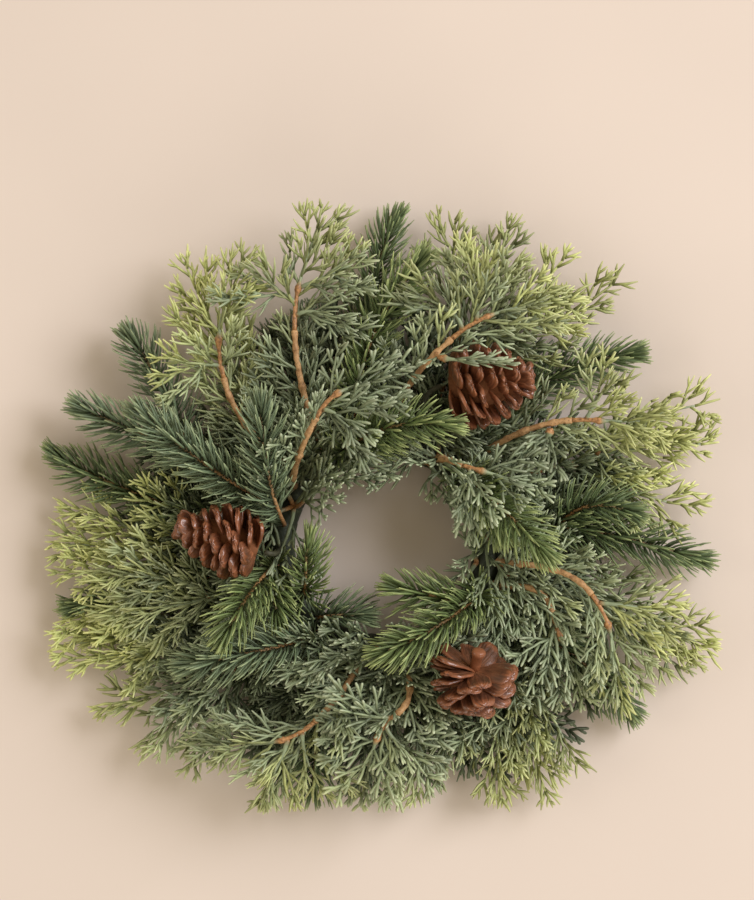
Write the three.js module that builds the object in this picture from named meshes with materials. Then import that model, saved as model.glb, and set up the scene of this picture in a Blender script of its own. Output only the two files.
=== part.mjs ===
// A small artificial wreath: a taped ring with pine sprays, cedar twigs and three pine cones.
// Millimetres, +Z up. It lies on its back, with the origin under the middle of its outline.
// The foliage is laid out round the ring's centre, and the whole group is shifted at the end.
import * as THREE from "three";

// The ring, with its underside cut flat at z = 0
const RING_RADIUS = 47.5;
const TUBE_RADIUS = 7;
const TUBE_HEIGHT = 6.2;
const TUBE_SIDES = 9;
const RING_STEPS = 30;

// The clear way through the middle, kept free of foliage
const HOLE_LOW = new THREE.Vector2(-21, -8);
const HOLE_HIGH = new THREE.Vector2(30, 19);

// Room at a seat, between neighbours, between parts of one branch, and over the surface
const SEAT_GAP = 0.3;
const GAP = 0.45;
const OWN_GAP = 0.15;
const LOWEST = 0.6;
const CELL = 12;
const KNEE_SHARE = 0.28;

// Stems
const LEAD_SHARE = 0.3;
const TIP_TRIM = 8;
const BARE_STEP = 8;
const WIRE_RADIUS = 1.2;
const TWIG_SIDES = 5;
const TWIG_STEP = 8;
const TWIG_RADIUS = 1.9;
const TWIG_END_RADIUS = 1.4;
const KNOB_RADIUS = 2.6;
const KNOB_SHARE = 0.6;

// Pine needles
const PINE_RADIUS = 1.05;
const PINE_END_RADIUS = 0.75;
const PINE_STEP = 2.4;
const PINE_TWIST = 0.14;
const NEEDLE_LENGTH = 15;
const NEEDLE_BASE = 0.8;
const NEEDLE_TIP = 0.12;
const NEEDLE_LEAN = 0.95;
const NEEDLE_END_LEAN = 0.4;
const NEEDLE_LEAST_LEAN = 0.3;
const PLAIN_SHARE = 0.06;
const FORK_BARE = 0.12;
const FORK_LEAN = 0.7;

// Cedar foliage
const CEDAR_RADIUS = 1;
const CEDAR_END_RADIUS = 0.75;
const CEDAR_STEP = 4.8;
const CEDAR_TOP = 0.4;
const CEDAR_KEEL = 0.8;
const BRANCHLET_RADIUS = 0.7;
const BRANCHLET_STEP = 4.5;
const BRANCHLET_LEAN = 0.85;
const LEAF_LENGTH = 7;
const LEAF_LEAN = 0.85;
const LEAF_ROOM = 1.2;
const LEAST_LIFT = 0.14;
const SIDE_FAN_BARE = 0.2;
const SIDE_FAN_LEAN = 0.7;
const SIDE_FAN_RISE = 0.35;
const SIDE_FAN_ARCH = 0.12;

// Pine cones
const CONE_SIDES = 5;
const CONE_RINGS = 9;
const CONE_RODS = 5;
const CORE_LENGTH = 0.9;
const SCALE_WIDTH = 6.5;
const SCALE_THICKNESS = 1.7;
const SCALE_REACH = 0.8;
const STALK_LEAN = 1.6;
const FREE_LEAN = 0.5;

const COLOURS = {
  tape: 0x2c3322,
  wire: 0x3a3a2a,
  twig: 0x8f5b33,
  cone: 0x5c3726,
  pine: 0x3f5230,
  pineBright: 0x52702f,
  pineBlue: 0x4a5c46,
  cedar: 0x5f6a4c,
  cedarLime: 0x9a9c58,
};

// A root on the ring is the angle round the ring and the angle up its section from the outside.
// A bend is the point that a tip comes from.
const TWIGS = [
  { name: "twig_01", root: [122, 62], bend: [-40, 78, 40], tip: [-40, 97, 37] },
  { name: "twig_02", root: [146, 80], bend: [-38, 44, 52], tip: [-30, 58, 55] },
  { name: "twig_03", root: [86, 52], bend: [12, 78, 50], tip: [30, 93, 52] },
  { name: "twig_04", root: [44, 42], bend: [66, 56, 36], tip: [84, 57, 39] },
  { name: "twig_05", root: [58, 95], bend: [22, 42, 38], tip: [35, 37, 44] },
  { name: "twig_06", root: [-8, 52], bend: [82, -6, 36], tip: [93, -21, 37] },
  { name: "twig_07", root: [-19, 45], bend: [73, -14, 28], tip: [76, -30, 27] },
  { name: "twig_08", root: [-79, 58], bend: [15, -68, 42], tip: [6, -74, 41] },
  { name: "twig_09", root: [258, 60], bend: [-20, -68, 40], tip: [-31, -78, 37] },
  { name: "twig_10", root: [140, 42], bend: [-67, 54, 30], tip: [-72, 76, 32] },
];

// Bare is the share of a stem without needles. Forks leave at a share of the stem.
const PINES = [
  { name: "pine_01", hue: "pineBlue", root: [152, 38], bend: [-112, 50, 24], tip: [-141, 65, 22],
    bare: 0.45, forks: [{ share: 0.5, bend: [-98, 72, 19], tip: [-118, 99, 17] }] },
  { name: "pine_02", hue: "pine", root: [171, 12], bend: [-115, 22, 12], tip: [-154, 43, 11], bare: 0.4 },
  { name: "pine_03", hue: "pineBlue", root: [160, 72], bend: [-84, 38, 54], tip: [-112, 64, 47], bare: 0.3 },
  { name: "pine_04", hue: "pineBlue", root: [168, 98], bend: [-54, 22, 60], tip: [-55, 69, 48],
    bare: 0.2 },
  { name: "pine_05", hue: "pine", root: [97, 14], bend: [-8, 122, 13], tip: [3, 155, 12], bare: 0.42 },
  { name: "pine_06", hue: "pineBright", root: [104, 55], bend: [-8, 104, 40], tip: [20, 132, 34],
    bare: 0.3 },
  { name: "pine_07", hue: "pine", root: [52, 10], bend: [80, 84, 13], tip: [118, 88, 14], bare: 0.42 },
  { name: "pine_08", hue: "pineBright", root: [117, 96], bend: [-4, 62, 54], tip: [34, 54, 52], bare: 0.16,
    forks: [{ share: 0.3, bend: [-4, 52, 36], tip: [8, 47, 33] }] },
  { name: "pine_09", hue: "pineBright", root: [41, 88], bend: [54, 18, 54], tip: [75, -6, 50], bare: 0.16,
    forks: [{ share: 0.32, bend: [50, 16, 36], tip: [54, 2, 32] }] },
  { name: "pine_10", hue: "pine", root: [10, 30], bend: [115, 2, 17], tip: [148, -7, 14], bare: 0.42,
    forks: [{ share: 0.3, bend: [92, 24, 30], tip: [116, 14, 29] }] },
  { name: "pine_11", hue: "pine", root: [-29, 10], bend: [93, -50, 10], tip: [115, -79, 11], bare: 0.5 },
  { name: "pine_12", hue: "pineBright", root: [-25, 88], bend: [26, -38, 56], tip: [-6, -48, 48], bare: 0.26,
    forks: [{ share: 0.3, bend: [20, -20, 33], tip: [0, -18, 30] }] },
  { name: "pine_13", hue: "pineBright", root: [212, 112], bend: [-36, -12, 38], tip: [-34, 8, 33],
    bare: 0.3 },
  { name: "pine_14", hue: "pineBright", root: [190, 78], bend: [-62, -20, 56], tip: [-73, -44, 48],
    bare: 0.2, forks: [{ share: 0.24, bend: [-50, -24, 33], tip: [-46, -36, 32] }] },
  { name: "pine_15", hue: "pineBlue", root: [232, 76], bend: [-58, -46, 48], tip: [-93, -54, 38],
    bare: 0.2 },
  { name: "pine_16", hue: "pine", root: [189, 8], bend: [-115, -25, 10], tip: [-146, -28, 10], bare: 0.5 },
  { name: "pine_17", hue: "pine", root: [250, 12], bend: [-34, -95, 10], tip: [-32, -120, 11], bare: 0.45 },
  { name: "pine_18", hue: "pineBlue", root: [226, 100], bend: [-22, -30, 30], tip: [-5, -31, 25],
    bare: 0.26 },
];

// A cedar branch starts at the end of a twig, on the side of one, or on the ring.
// Width is the length of its longest branchlets, and its side fans leave at a share of the stem.
const CEDARS = [
  { name: "cedar_01", hue: "cedar", twig: "twig_01", bend: [-38, 120, 38], tip: [-26, 156, 24],
    bare: 0.4, width: 14,
    fans: [
      { share: 0.14, tip: [-14, 100, 41] },
      { share: 0.26, tip: [-58, 120, 33] },
      { share: 0.4, tip: [-11, 128, 37] },
    ] },
  { name: "cedar_02", hue: "cedar", twig: "twig_02", bend: [-18, 72, 58], tip: [13, 77, 49],
    bare: 0.3, width: 10, fans: [{ share: 0.12, tip: [-12, 53, 56] }] },
  { name: "cedar_03", hue: "cedarLime", twig: "twig_03", bend: [56, 107, 52], tip: [86, 112, 40],
    bare: 0.35, width: 13,
    fans: [{ share: 0.12, tip: [12, 114, 45] }, { share: 0.28, tip: [37, 134, 43] }] },
  { name: "cedar_04", hue: "cedar", twig: "twig_03", side: { share: 0.86, out: [0.3, 0.1, 1] },
    bend: [36, 84, 65], tip: [54, 81, 61], bare: 0.35, width: 5, fans: [] },
  { name: "cedar_05", hue: "cedarLime", twig: "twig_04", bend: [108, 54, 40], tip: [128, 59, 35],
    bare: 0.3, width: 9, fans: [{ share: 0.2, tip: [98, 78, 42] }] },
  { name: "cedar_06", hue: "cedar", twig: "twig_04", side: { share: 0.82, out: [0.3, -1, 0.2] },
    bend: [66, 44, 36], tip: [78, 37, 36], bare: 0.3, width: 8, fans: [] },
  { name: "cedar_07", hue: "cedar", twig: "twig_05", bend: [52, 33, 48], tip: [70, 25, 45],
    bare: 0.25, width: 8, fans: [{ share: 0.15, tip: [38, 10, 43] }] },
  { name: "cedar_08", hue: "cedarLime", twig: "twig_06", bend: [103, -46, 35], tip: [107, -71, 24],
    bare: 0.3, width: 10, fans: [{ share: 0.12, tip: [133, -30, 31] }] },
  { name: "cedar_09", hue: "cedar", twig: "twig_07", bend: [86, -50, 26], tip: [88, -70, 20],
    bare: 0.2, width: 9, fans: [] },
  { name: "cedar_10", hue: "cedar", twig: "twig_08", bend: [-4, -92, 38], tip: [-12, -117, 23],
    bare: 0.35, width: 12,
    fans: [
      { share: 0.1, tip: [-21, -76, 41] },
      { share: 0.2, tip: [23, -96, 33] },
    ] },
  { name: "cedar_11", hue: "cedarLime", twig: "twig_09", bend: [-58, -90, 36], tip: [-86, -86, 25],
    bare: 0.35, width: 11,
    fans: [
      { share: 0.16, tip: [-30, -107, 27] },
      { share: 0.32, tip: [-58, -116, 24] },
    ] },
  { name: "cedar_12", hue: "cedarLime", twig: "twig_10", bend: [-76, 104, 36], tip: [-61, 130, 28],
    bare: 0.3, width: 11, fans: [{ share: 0.12, tip: [-95, 78, 33] }] },
  { name: "cedar_13", hue: "cedar", root: [268, 96], bend: [-14, -44, 40], tip: [-48, -58, 34],
    bare: 0.36, width: 10, fans: [] },
  { name: "cedar_14", hue: "cedar", root: [156, 112], bend: [-34, 36, 44], tip: [3, 31, 40],
    bare: 0.36, width: 7, fans: [] },
  { name: "cedar_15", hue: "cedarLime", root: [134, 18], bend: [-82, 98, 17], tip: [-92, 135, 17],
    bare: 0.5, width: 12, fans: [] },
  { name: "cedar_16", hue: "cedarLime", root: [70, 12], bend: [46, 112, 13], tip: [58, 146, 12],
    bare: 0.5, width: 9,
    fans: [
      { share: 0.4, tip: [106, 119, 15] },
      { share: 0.5, tip: [34, 150, 12] },
      { share: 0.56, tip: [84, 132, 13] },
    ] },
  { name: "cedar_17", hue: "cedarLime", root: [27, 12], bend: [120, 48, 14], tip: [158, 46, 13],
    bare: 0.5, width: 9, fans: [{ share: 0.4, tip: [143, 24, 15] }, { share: 0.52, tip: [155, 66, 14] }] },
  { name: "cedar_18", hue: "cedarLime", root: [-14, 8], bend: [118, -22, 11], tip: [152, -51, 11],
    bare: 0.5, width: 10, fans: [] },
  { name: "cedar_19", hue: "cedar", root: [-38, 10], bend: [64, -76, 13], tip: [73, -114, 12],
    bare: 0.45, width: 9, fans: [{ share: 0.4, tip: [53, -117, 13] }, { share: 0.5, tip: [87, -100, 15] }] },
  { name: "cedar_20", hue: "cedarLime", root: [-62, 12], bend: [34, -78, 13], tip: [25, -98, 14],
    bare: 0.45, width: 8, fans: [{ share: 0.6, tip: [14, -114, 12] }] },
  { name: "cedar_21", hue: "cedarLime", root: [180, 10], bend: [-120, 0, 11], tip: [-157, 1, 11],
    bare: 0.5, width: 9,
    fans: [
      { share: 0.3, tip: [-108, 29, 27] },
      { share: 0.5, tip: [-151, -11, 12] },
      { share: 0.6, tip: [-146, 19, 11] },
    ] },
  { name: "cedar_22", hue: "cedar", root: [197, 35], bend: [-98, -30, 27], tip: [-130, -29, 23],
    bare: 0.45, width: 9, fans: [{ share: 0.45, tip: [-134, -12, 22] }] },
  { name: "cedar_23", hue: "cedarLime", root: [205, 8], bend: [-125, -42, 10], tip: [-157, -47, 10],
    bare: 0.5, width: 10, fans: [] },
  { name: "cedar_24", hue: "cedarLime", root: [222, 12], bend: [-96, -66, 14], tip: [-129, -74, 12],
    bare: 0.45, width: 9,
    fans: [
      { share: 0.4, tip: [-88, -100, 13] },
      { share: 0.5, tip: [-122, -53, 13] },
      { share: 0.56, tip: [-110, -89, 13] },
    ] },
  { name: "cedar_25", hue: "cedar", root: [273, 50], bend: [3, -58, 30], tip: [-4, -74, 31],
    bare: 0.4, width: 8, fans: [] },
];

// Each cone lies between its stalk end and its free end, on a wire rooted on the ring
const CONES = [
  { name: "cone_left", stalk: [-55, 0, 39], free: [-91, 11, 40], radius: 16.5, root: [181, 88] },
  { name: "cone_upper_right", stalk: [26, 72, 38], free: [64, 75, 40], radius: 19.5, root: [73, 62] },
  { name: "cone_lower_right", stalk: [48, -38, 40], free: [35, -69, 37], radius: 19, root: [-41, 80] },
];

const UP = new THREE.Vector3(0, 0, 1);
const NEARLY_UP = new THREE.Vector3(0.1, 0.1, 1);
const vector = (xyz) => new THREE.Vector3(...xyz);
const between = (from, to, share) => from + (to - from) * share;

// Repeatable random numbers from 0 to 1
function randomFrom(seed) {
  let state = seed;
  return () => {
    state = (state + 0x6d2b79f5) | 0;
    let t = Math.imul(state ^ (state >>> 15), 1 | state);
    t = (t + Math.imul(t ^ (t >>> 7), 61 | t)) ^ t;
    return ((t ^ (t >>> 14)) >>> 0) / 4294967296;
  };
}

// A skin of triangles with shared points. Each face notes the outgrowth that it belongs to, if any.
class Skin {
  points = [];
  corners = [];
  owners = [];
  owner = null;

  point(place) {
    this.points.push(place);
    return this.points.length - 1;
  }

  face(a, b, c) {
    this.corners.push(a, b, c);
    this.owners.push(this.owner);
  }

  // The faces from the lowest x up, each with its corners, points, box and owner
  faces() {
    const made = this.owners.map((owner, i) => {
      const ids = this.corners.slice(3 * i, 3 * i + 3);
      const points = ids.map((id) => this.points[id]);
      return { ids, points, owner, box: new THREE.Box3().setFromPoints(points) };
    });
    return made.sort((a, b) => a.box.min.x - b.box.min.x);
  }

  geometry() {
    const made = new THREE.BufferGeometry().setFromPoints(this.points);
    made.setIndex(this.corners);
    made.computeVertexNormals();
    return made;
  }
}

// The nearest approach of two rods: the gap, and the share along each where it is
function nearestApproach(p, q) {
  const u = p.b.clone().sub(p.a);
  const v = q.b.clone().sub(q.a);
  const w = p.a.clone().sub(q.a);
  const uu = u.dot(u);
  const vv = v.dot(v);
  const uv = u.dot(v);
  const uw = u.dot(w);
  const vw = v.dot(w);
  const spread = uu * vv - uv * uv;
  const clamp = (x) => THREE.MathUtils.clamp(x, 0, 1);
  let s = spread > 1e-9 ? clamp((uv * vw - vv * uw) / spread) : 0;
  const t = clamp((uv * s + vw) / vv);
  s = clamp((uv * t - uw) / uu);
  const gap = w.addScaledVector(u, s).addScaledVector(v, -t).length();
  return { gap, s, t };
}

// True where an edge of one face passes through another face that it shares no corner with
function passesThrough(face, other) {
  return [0, 1, 2].some((i) => {
    const j = (i + 1) % 3;
    if (other.ids.includes(face.ids[i]) || other.ids.includes(face.ids[j])) return false;
    const [from, to] = [face.points[i], face.points[j]];
    const ray = new THREE.Ray(from, to.clone().sub(from).normalize());
    const hit = ray.intersectTriangle(...other.points, false, new THREE.Vector3());
    return hit !== null && hit.distanceTo(from) < from.distanceTo(to);
  });
}

// The leaves and branchlets that run through another part of their own branch
function crossingGrowths(skin) {
  const found = new Set();
  const faces = skin.faces();
  faces.forEach((face, i) => {
    for (let j = i + 1; j < faces.length && faces[j].box.min.x <= face.box.max.x; j++) {
      const other = faces[j];
      const owner = face.owner?.tip ? face.owner : other.owner ?? face.owner;
      if (!owner || face.owner === other.owner || !face.box.intersectsBox(other.box)) continue;
      if (passesThrough(face, other) || passesThrough(other, face)) found.add(owner);
    }
  });
  return found;
}

// True where a rod reaches under the surface, into the ring or into the hole
function isOffLimits(rod) {
  for (const share of [0, 0.25, 0.5, 0.75, 1]) {
    const at = rod.a.clone().lerp(rod.b, share);
    const radius = between(rod.ra, rod.rb, share);
    if (at.z - radius < LOWEST) return true;
    const fromTube = Math.hypot(Math.hypot(at.x, at.y) - RING_RADIUS, at.z - TUBE_HEIGHT);
    if (!rod.inner && fromTube < TUBE_RADIUS + radius + GAP) return true;
    const inX = at.x > HOLE_LOW.x - radius && at.x < HOLE_HIGH.x + radius;
    const inY = at.y > HOLE_LOW.y - radius && at.y < HOLE_HIGH.y + radius;
    if (inX && inY) return true;
  }
  return false;
}

// What is taken so far, as tapered rods in a grid of cells
class Space {
  cells = new Map();

  keysOf(rod) {
    const reach = Math.max(rod.ra, rod.rb) + GAP;
    const low = rod.a.clone().min(rod.b).addScalar(-reach).divideScalar(CELL).floor();
    const high = rod.a.clone().max(rod.b).addScalar(reach).divideScalar(CELL).floor();
    const keys = [];
    for (let i = low.x; i <= high.x; i++)
      for (let j = low.y; j <= high.y; j++)
        for (let k = low.z; k <= high.z; k++) keys.push(`${i},${j},${k}`);
    return keys;
  }

  add(rod) {
    for (const key of this.keysOf(rod)) {
      if (!this.cells.has(key)) this.cells.set(key, []);
      this.cells.get(key).push(rod);
    }
  }

  meets(rod, other) {
    const isOwn = rod.owner === other.owner;
    if (isOwn && ((rod.inner && other.inner) || rod.parent === other.stem)) return false;
    const { gap, s, t } = nearestApproach(rod, other);
    const room = isOwn ? OWN_GAP : GAP;
    return gap < between(rod.ra, rod.rb, s) + between(other.ra, other.rb, t) + room;
  }

  isTaken(rod) {
    if (isOffLimits(rod)) return true;
    const near = new Set(this.keysOf(rod).flatMap((key) => this.cells.get(key) ?? []));
    return [...near].some((other) => this.meets(rod, other));
  }
}

const space = new Space();

// Puts an outgrowth where the first of several ways leaves it free
function placeFirstFree(ways) {
  const free = ways.find((way) => !way.rods.some((rod) => space.isTaken(rod)));
  free?.rods.forEach((rod) => space.add(rod));
  return free;
}

// A needle, leaf or branchlet as an inner rod at its root and an outer rod
function outgrowthRods(from, to, base, tip, marks) {
  const knee = from.clone().lerp(to, KNEE_SHARE);
  const middle = between(base, tip, KNEE_SHARE);
  return [
    { a: from, b: knee, ra: base, rb: middle, inner: true, ...marks },
    { a: knee, b: to, ra: middle, rb: tip, inner: false, ...marks },
  ];
}

// Where a stem leaves the ring: its first point, and the direction square to the surface
function seatOnRing([round, rise]) {
  const turn = THREE.MathUtils.degToRad(round);
  const up = THREE.MathUtils.degToRad(rise);
  const outward = new THREE.Vector3(Math.cos(turn), Math.sin(turn), 0);
  const out = outward.clone().multiplyScalar(Math.cos(up)).addScaledVector(UP, Math.sin(up));
  const middle = outward.clone().multiplyScalar(RING_RADIUS).addScaledVector(UP, TUBE_HEIGHT);
  return { at: middle.addScaledVector(out, TUBE_RADIUS + SEAT_GAP), out };
}

// Where a branch leaves a twig: at its end, or on its side
function seatOnTwig(curve, side) {
  if (!side) {
    const along = curve.getTangent(1);
    return { at: curve.getPoint(1).addScaledVector(along, SEAT_GAP), out: along };
  }
  const along = curve.getTangentAt(side.share);
  const out = vector(side.out);
  out.addScaledVector(along, -out.dot(along)).normalize();
  return { at: curve.getPointAt(side.share).addScaledVector(out, TWIG_RADIUS + SEAT_GAP), out };
}

function stemCurve(seat, bend, end) {
  const lead = seat.at.clone().addScaledVector(seat.out, LEAD_SHARE * seat.at.distanceTo(end));
  return new THREE.CubicBezierCurve3(seat.at, lead, bend, end);
}

// Stations along a curve, far apart where it is bare and close where it is leafy.
// Leafy runs from 0 where the foliage starts to 1 at the end, which is short of the curve's by a trim.
function stationsOn(curve, bare, leafyStep, bareStep, firstUp, trim = 0) {
  const length = curve.getLength();
  const end = 1 - trim / length;
  const bareCount = bare > 0 ? Math.max(1, Math.round((length * bare) / bareStep)) : 0;
  const leafyCount = Math.max(1, Math.round((length * (end - bare)) / leafyStep));
  const shares = [];
  for (let i = 0; i < bareCount; i++) shares.push((bare * i) / bareCount);
  for (let i = 0; i <= leafyCount; i++) shares.push(between(bare, end, i / leafyCount));
  const stations = shares.map((share) => ({
    share,
    at: curve.getPointAt(share),
    along: curve.getTangentAt(share),
    leafy: (share - bare) / (end - bare),
  }));
  let up = firstUp;
  for (const station of stations) {
    station.up = up.clone().addScaledVector(station.along, -up.dot(station.along)).normalize();
    station.left = station.up.clone().cross(station.along);
    up = station.up;
  }
  return stations;
}

function claimStem(stations, radius, endRadius, marks) {
  for (let i = 0; i + 1 < stations.length; i++) {
    const ra = between(radius, endRadius, stations[i].share);
    const rb = between(radius, endRadius, stations[i + 1].share);
    space.add({ a: stations[i].at, b: stations[i + 1].at, ra, rb, inner: false, ...marks });
  }
}

// The ring is a tube with a flat underside, turned about the upright axis
function ringGeometry() {
  const flat = Math.acos(TUBE_HEIGHT / TUBE_RADIUS);
  const profile = [];
  for (let i = 0; i <= TUBE_SIDES; i++) {
    const turn = between(flat - Math.PI / 2, (3 * Math.PI) / 2 - flat, i / TUBE_SIDES);
    const out = RING_RADIUS + TUBE_RADIUS * Math.cos(turn);
    profile.push(new THREE.Vector2(out, TUBE_HEIGHT + TUBE_RADIUS * Math.sin(turn)));
  }
  profile.push(profile[0].clone());
  return new THREE.LatheGeometry(profile, RING_STEPS).rotateX(Math.PI / 2);
}

// A round stem, closed at both ends, with its radius given at each station
function roundStem(stations, radii, sides) {
  const skin = new Skin();
  const rings = stations.map((station, k) => {
    const ring = [];
    for (let i = 0; i < sides; i++) {
      const turn = (2 * Math.PI * i) / sides;
      const place = station.at.clone().addScaledVector(station.left, radii[k] * Math.cos(turn));
      ring.push(skin.point(place.addScaledVector(station.up, radii[k] * Math.sin(turn))));
    }
    return ring;
  });
  const first = skin.point(stations[0].at);
  const last = skin.point(stations.at(-1).at);
  for (let i = 0; i < sides; i++) {
    const j = (i + 1) % sides;
    skin.face(first, rings[0][j], rings[0][i]);
    skin.face(last, rings.at(-1)[i], rings.at(-1)[j]);
    for (let k = 0; k + 1 < rings.length; k++) {
      skin.face(rings[k][i], rings[k][j], rings[k + 1][j]);
      skin.face(rings[k][i], rings[k + 1][j], rings[k + 1][i]);
    }
  }
  return skin.geometry();
}

// A knotty twig with a knob along it and a broad cut end
function twigPlan(row) {
  const curve = stemCurve(seatOnRing(row.root), vector(row.bend), vector(row.tip));
  const stations = stationsOn(curve, 0, TWIG_STEP, TWIG_STEP, UP);
  const knob = Math.round(KNOB_SHARE * (stations.length - 1));
  const radii = stations.map((station, k) => {
    if (k === knob) return KNOB_RADIUS;
    return between(TWIG_RADIUS, TWIG_END_RADIUS, station.share);
  });
  claimStem(stations, KNOB_RADIUS, TWIG_RADIUS, { owner: row.name });
  return { ...row, curve, stations, radii };
}

// How far a cone's scales reach from its axis, from its stalk end at 0 to its free end at 1
function coneReach(row, share) {
  const belly = 0.62 + 0.38 * Math.sin(Math.PI * Math.min(1, 0.18 + share));
  return row.radius * belly * (1 - 0.45 * share ** 4);
}

function conePlan(row) {
  const stalk = vector(row.stalk);
  const free = vector(row.free);
  const axis = free.clone().sub(stalk).normalize();
  for (let i = 0; i < CONE_RODS; i++) {
    const shares = [i / CONE_RODS, (i + 1) / CONE_RODS];
    const [a, b] = shares.map((share) => stalk.clone().lerp(free, share));
    const [ra, rb] = shares.map((share) => coneReach(row, share));
    space.add({ a, b, ra, rb, owner: row.name, inner: false });
  }
  const seat = seatOnRing(row.root);
  const end = stalk.clone().addScaledVector(axis, -SEAT_GAP);
  const bend = end.clone().addScaledVector(axis, -LEAD_SHARE * seat.at.distanceTo(end));
  const stations = stationsOn(stemCurve(seat, bend, end), 0, BARE_STEP, BARE_STEP, UP);
  claimStem(stations, WIRE_RADIUS, WIRE_RADIUS, { owner: row.name + "_wire" });
  return { ...row, axis, height: stalk.distanceTo(free), wireStations: stations };
}

// The rings of points of a cone's spindle core, from its stalk end on
function coneRings(skin, plan, side) {
  const rings = [];
  for (let k = 0; k < CONE_RINGS; k++) {
    const share = k / (CONE_RINGS - 1);
    const radius = plan.radius * (0.22 + 0.16 * Math.sin(Math.PI * share) - 0.1 * share);
    const at = vector(plan.stalk).addScaledVector(plan.axis, plan.height * CORE_LENGTH * share);
    const ring = [];
    for (let i = 0; i < CONE_SIDES; i++) {
      const arm = side.clone().applyAxisAngle(plan.axis, coneTurn(i, k));
      ring.push(skin.point(at.clone().addScaledVector(arm, radius)));
    }
    rings.push(ring);
  }
  return rings;
}

// Each pair of facets of the core across a ring edge grows out into a scale
function coneGeometry(plan, random) {
  const skin = new Skin();
  const side = UP.clone().cross(plan.axis).normalize();
  const rings = coneRings(skin, plan, side);
  const end = skin.point(vector(plan.free));
  for (let i = 0; i < CONE_SIDES; i++) {
    const j = (i + 1) % CONE_SIDES;
    if (i > 0 && j > 0) skin.face(rings[0][0], rings[0][j], rings[0][i]);
    skin.face(rings[0][i], rings[0][j], rings[1][i]);
    skin.face(rings.at(-2)[j], rings.at(-1)[j], rings.at(-1)[i]);
    skin.face(rings.at(-1)[i], rings.at(-1)[j], end);
    for (let k = 1; k < CONE_RINGS - 1; k++) {
      const loop = [rings[k][i], rings[k - 1][j], rings[k][j], rings[k + 1][i]];
      const radial = side.clone().applyAxisAngle(plan.axis, coneTurn(i + 0.5, k));
      growScale(skin, loop, radial, k / (CONE_RINGS - 1), plan, random);
    }
  }
  return skin.geometry();
}

// The turn about the axis of a corner, each ring being half a side round from the last
function coneTurn(i, k) {
  return (2 * Math.PI * (i + k / 2)) / CONE_SIDES;
}

// A scale widens from its two facets to a broad thick rim.
// Its loop holds the corners at one side, towards the stalk, at the other side and towards the free end.
function growScale(skin, loop, radial, share, plan, random) {
  const lean = between(STALK_LEAN, FREE_LEAN, share ** 1.5) + 0.16 * (random() - 0.5);
  const along = plan.axis.clone().multiplyScalar(Math.cos(lean)).addScaledVector(radial, Math.sin(lean));
  const across = plan.axis.clone().cross(radial);
  const over = along.clone().cross(across);
  const root = middleOf(skin, loop);
  const reach = SCALE_REACH * coneReach(plan, share) * (0.92 + 0.16 * random());
  const length = reach / Math.max(Math.sin(lean), 0.75);
  const rim = [[-1, 0, 0.86], [-0.5, -1, 1], [0.5, -1, 1], [1, 0, 0.86], [0.5, 1, 1], [-0.5, 1, 1]];
  const points = rim.map(([wide, thick, far]) => {
    const place = root.clone().addScaledVector(along, far * length);
    place.addScaledVector(across, (wide * SCALE_WIDTH) / 2);
    return skin.point(place.addScaledVector(over, (thick * SCALE_THICKNESS) / 2));
  });
  const [nearSide, low, farSide, high] = loop;
  const sides = [
    [nearSide, low, points[1]], [nearSide, points[1], points[0]], [low, points[2], points[1]],
    [low, farSide, points[3]], [low, points[3], points[2]], [farSide, high, points[4]],
    [farSide, points[4], points[3]], [high, points[5], points[4]], [high, nearSide, points[0]],
    [high, points[0], points[5]],
  ];
  for (const corners of sides) skin.face(...corners);
  for (let i = 1; i < 5; i++) skin.face(points[0], points[i], points[i + 1]);
}

// A pine stem with its forks, each fork leaving a station of the main stem
function pinePlan(row) {
  const curve = stemCurve(seatOnRing(row.root), vector(row.bend), vector(row.tip));
  const main = pineStem(row, curve, row.bare, "main");
  main.forks = (row.forks ?? []).map((fork, i) => {
    const count = main.stations.findIndex((station) => station.share >= fork.share);
    const start = main.stations[count];
    const end = vector(fork.tip);
    const out = end.clone().sub(start.at);
    out.addScaledVector(start.along, -out.dot(start.along)).normalize();
    out.addScaledVector(start.along, FORK_LEAN);
    const forkCurve = stemCurve({ at: start.at, out: out.normalize() }, vector(fork.bend), end);
    return { count, ...pineStem(row, forkCurve, FORK_BARE, `fork ${i}`) };
  });
  return { ...row, main };
}

function pineStem(row, curve, bare, stem) {
  const stations = stationsOn(curve, bare, PINE_STEP, BARE_STEP, NEARLY_UP, TIP_TRIM);
  const marks = { owner: row.name, stem };
  claimStem(stations, PINE_RADIUS, PINE_END_RADIUS, marks);
  return { stations, marks };
}

// Three points round a station, turned by an angle
function pineRing(skin, station, turn) {
  const radius = between(PINE_RADIUS, PINE_END_RADIUS, station.share);
  return [0, 1, 2].map((i) => {
    const angle = turn + (2 * Math.PI * i) / 3;
    const place = station.at.clone().addScaledVector(station.left, radius * Math.cos(angle));
    return skin.point(place.addScaledVector(station.up, radius * Math.sin(angle)));
  });
}

// The turn of a ring whose points lie half way between the corners of the face before it
function turnAfter(skin, corner, station) {
  const arm = skin.points[corner].clone().sub(station.at);
  return Math.atan2(arm.dot(station.up), arm.dot(station.left)) + Math.PI / 3;
}

function middleOf(skin, corners) {
  const sum = new THREE.Vector3();
  for (const corner of corners) sum.add(skin.points[corner]);
  return sum.divideScalar(corners.length);
}

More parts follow.
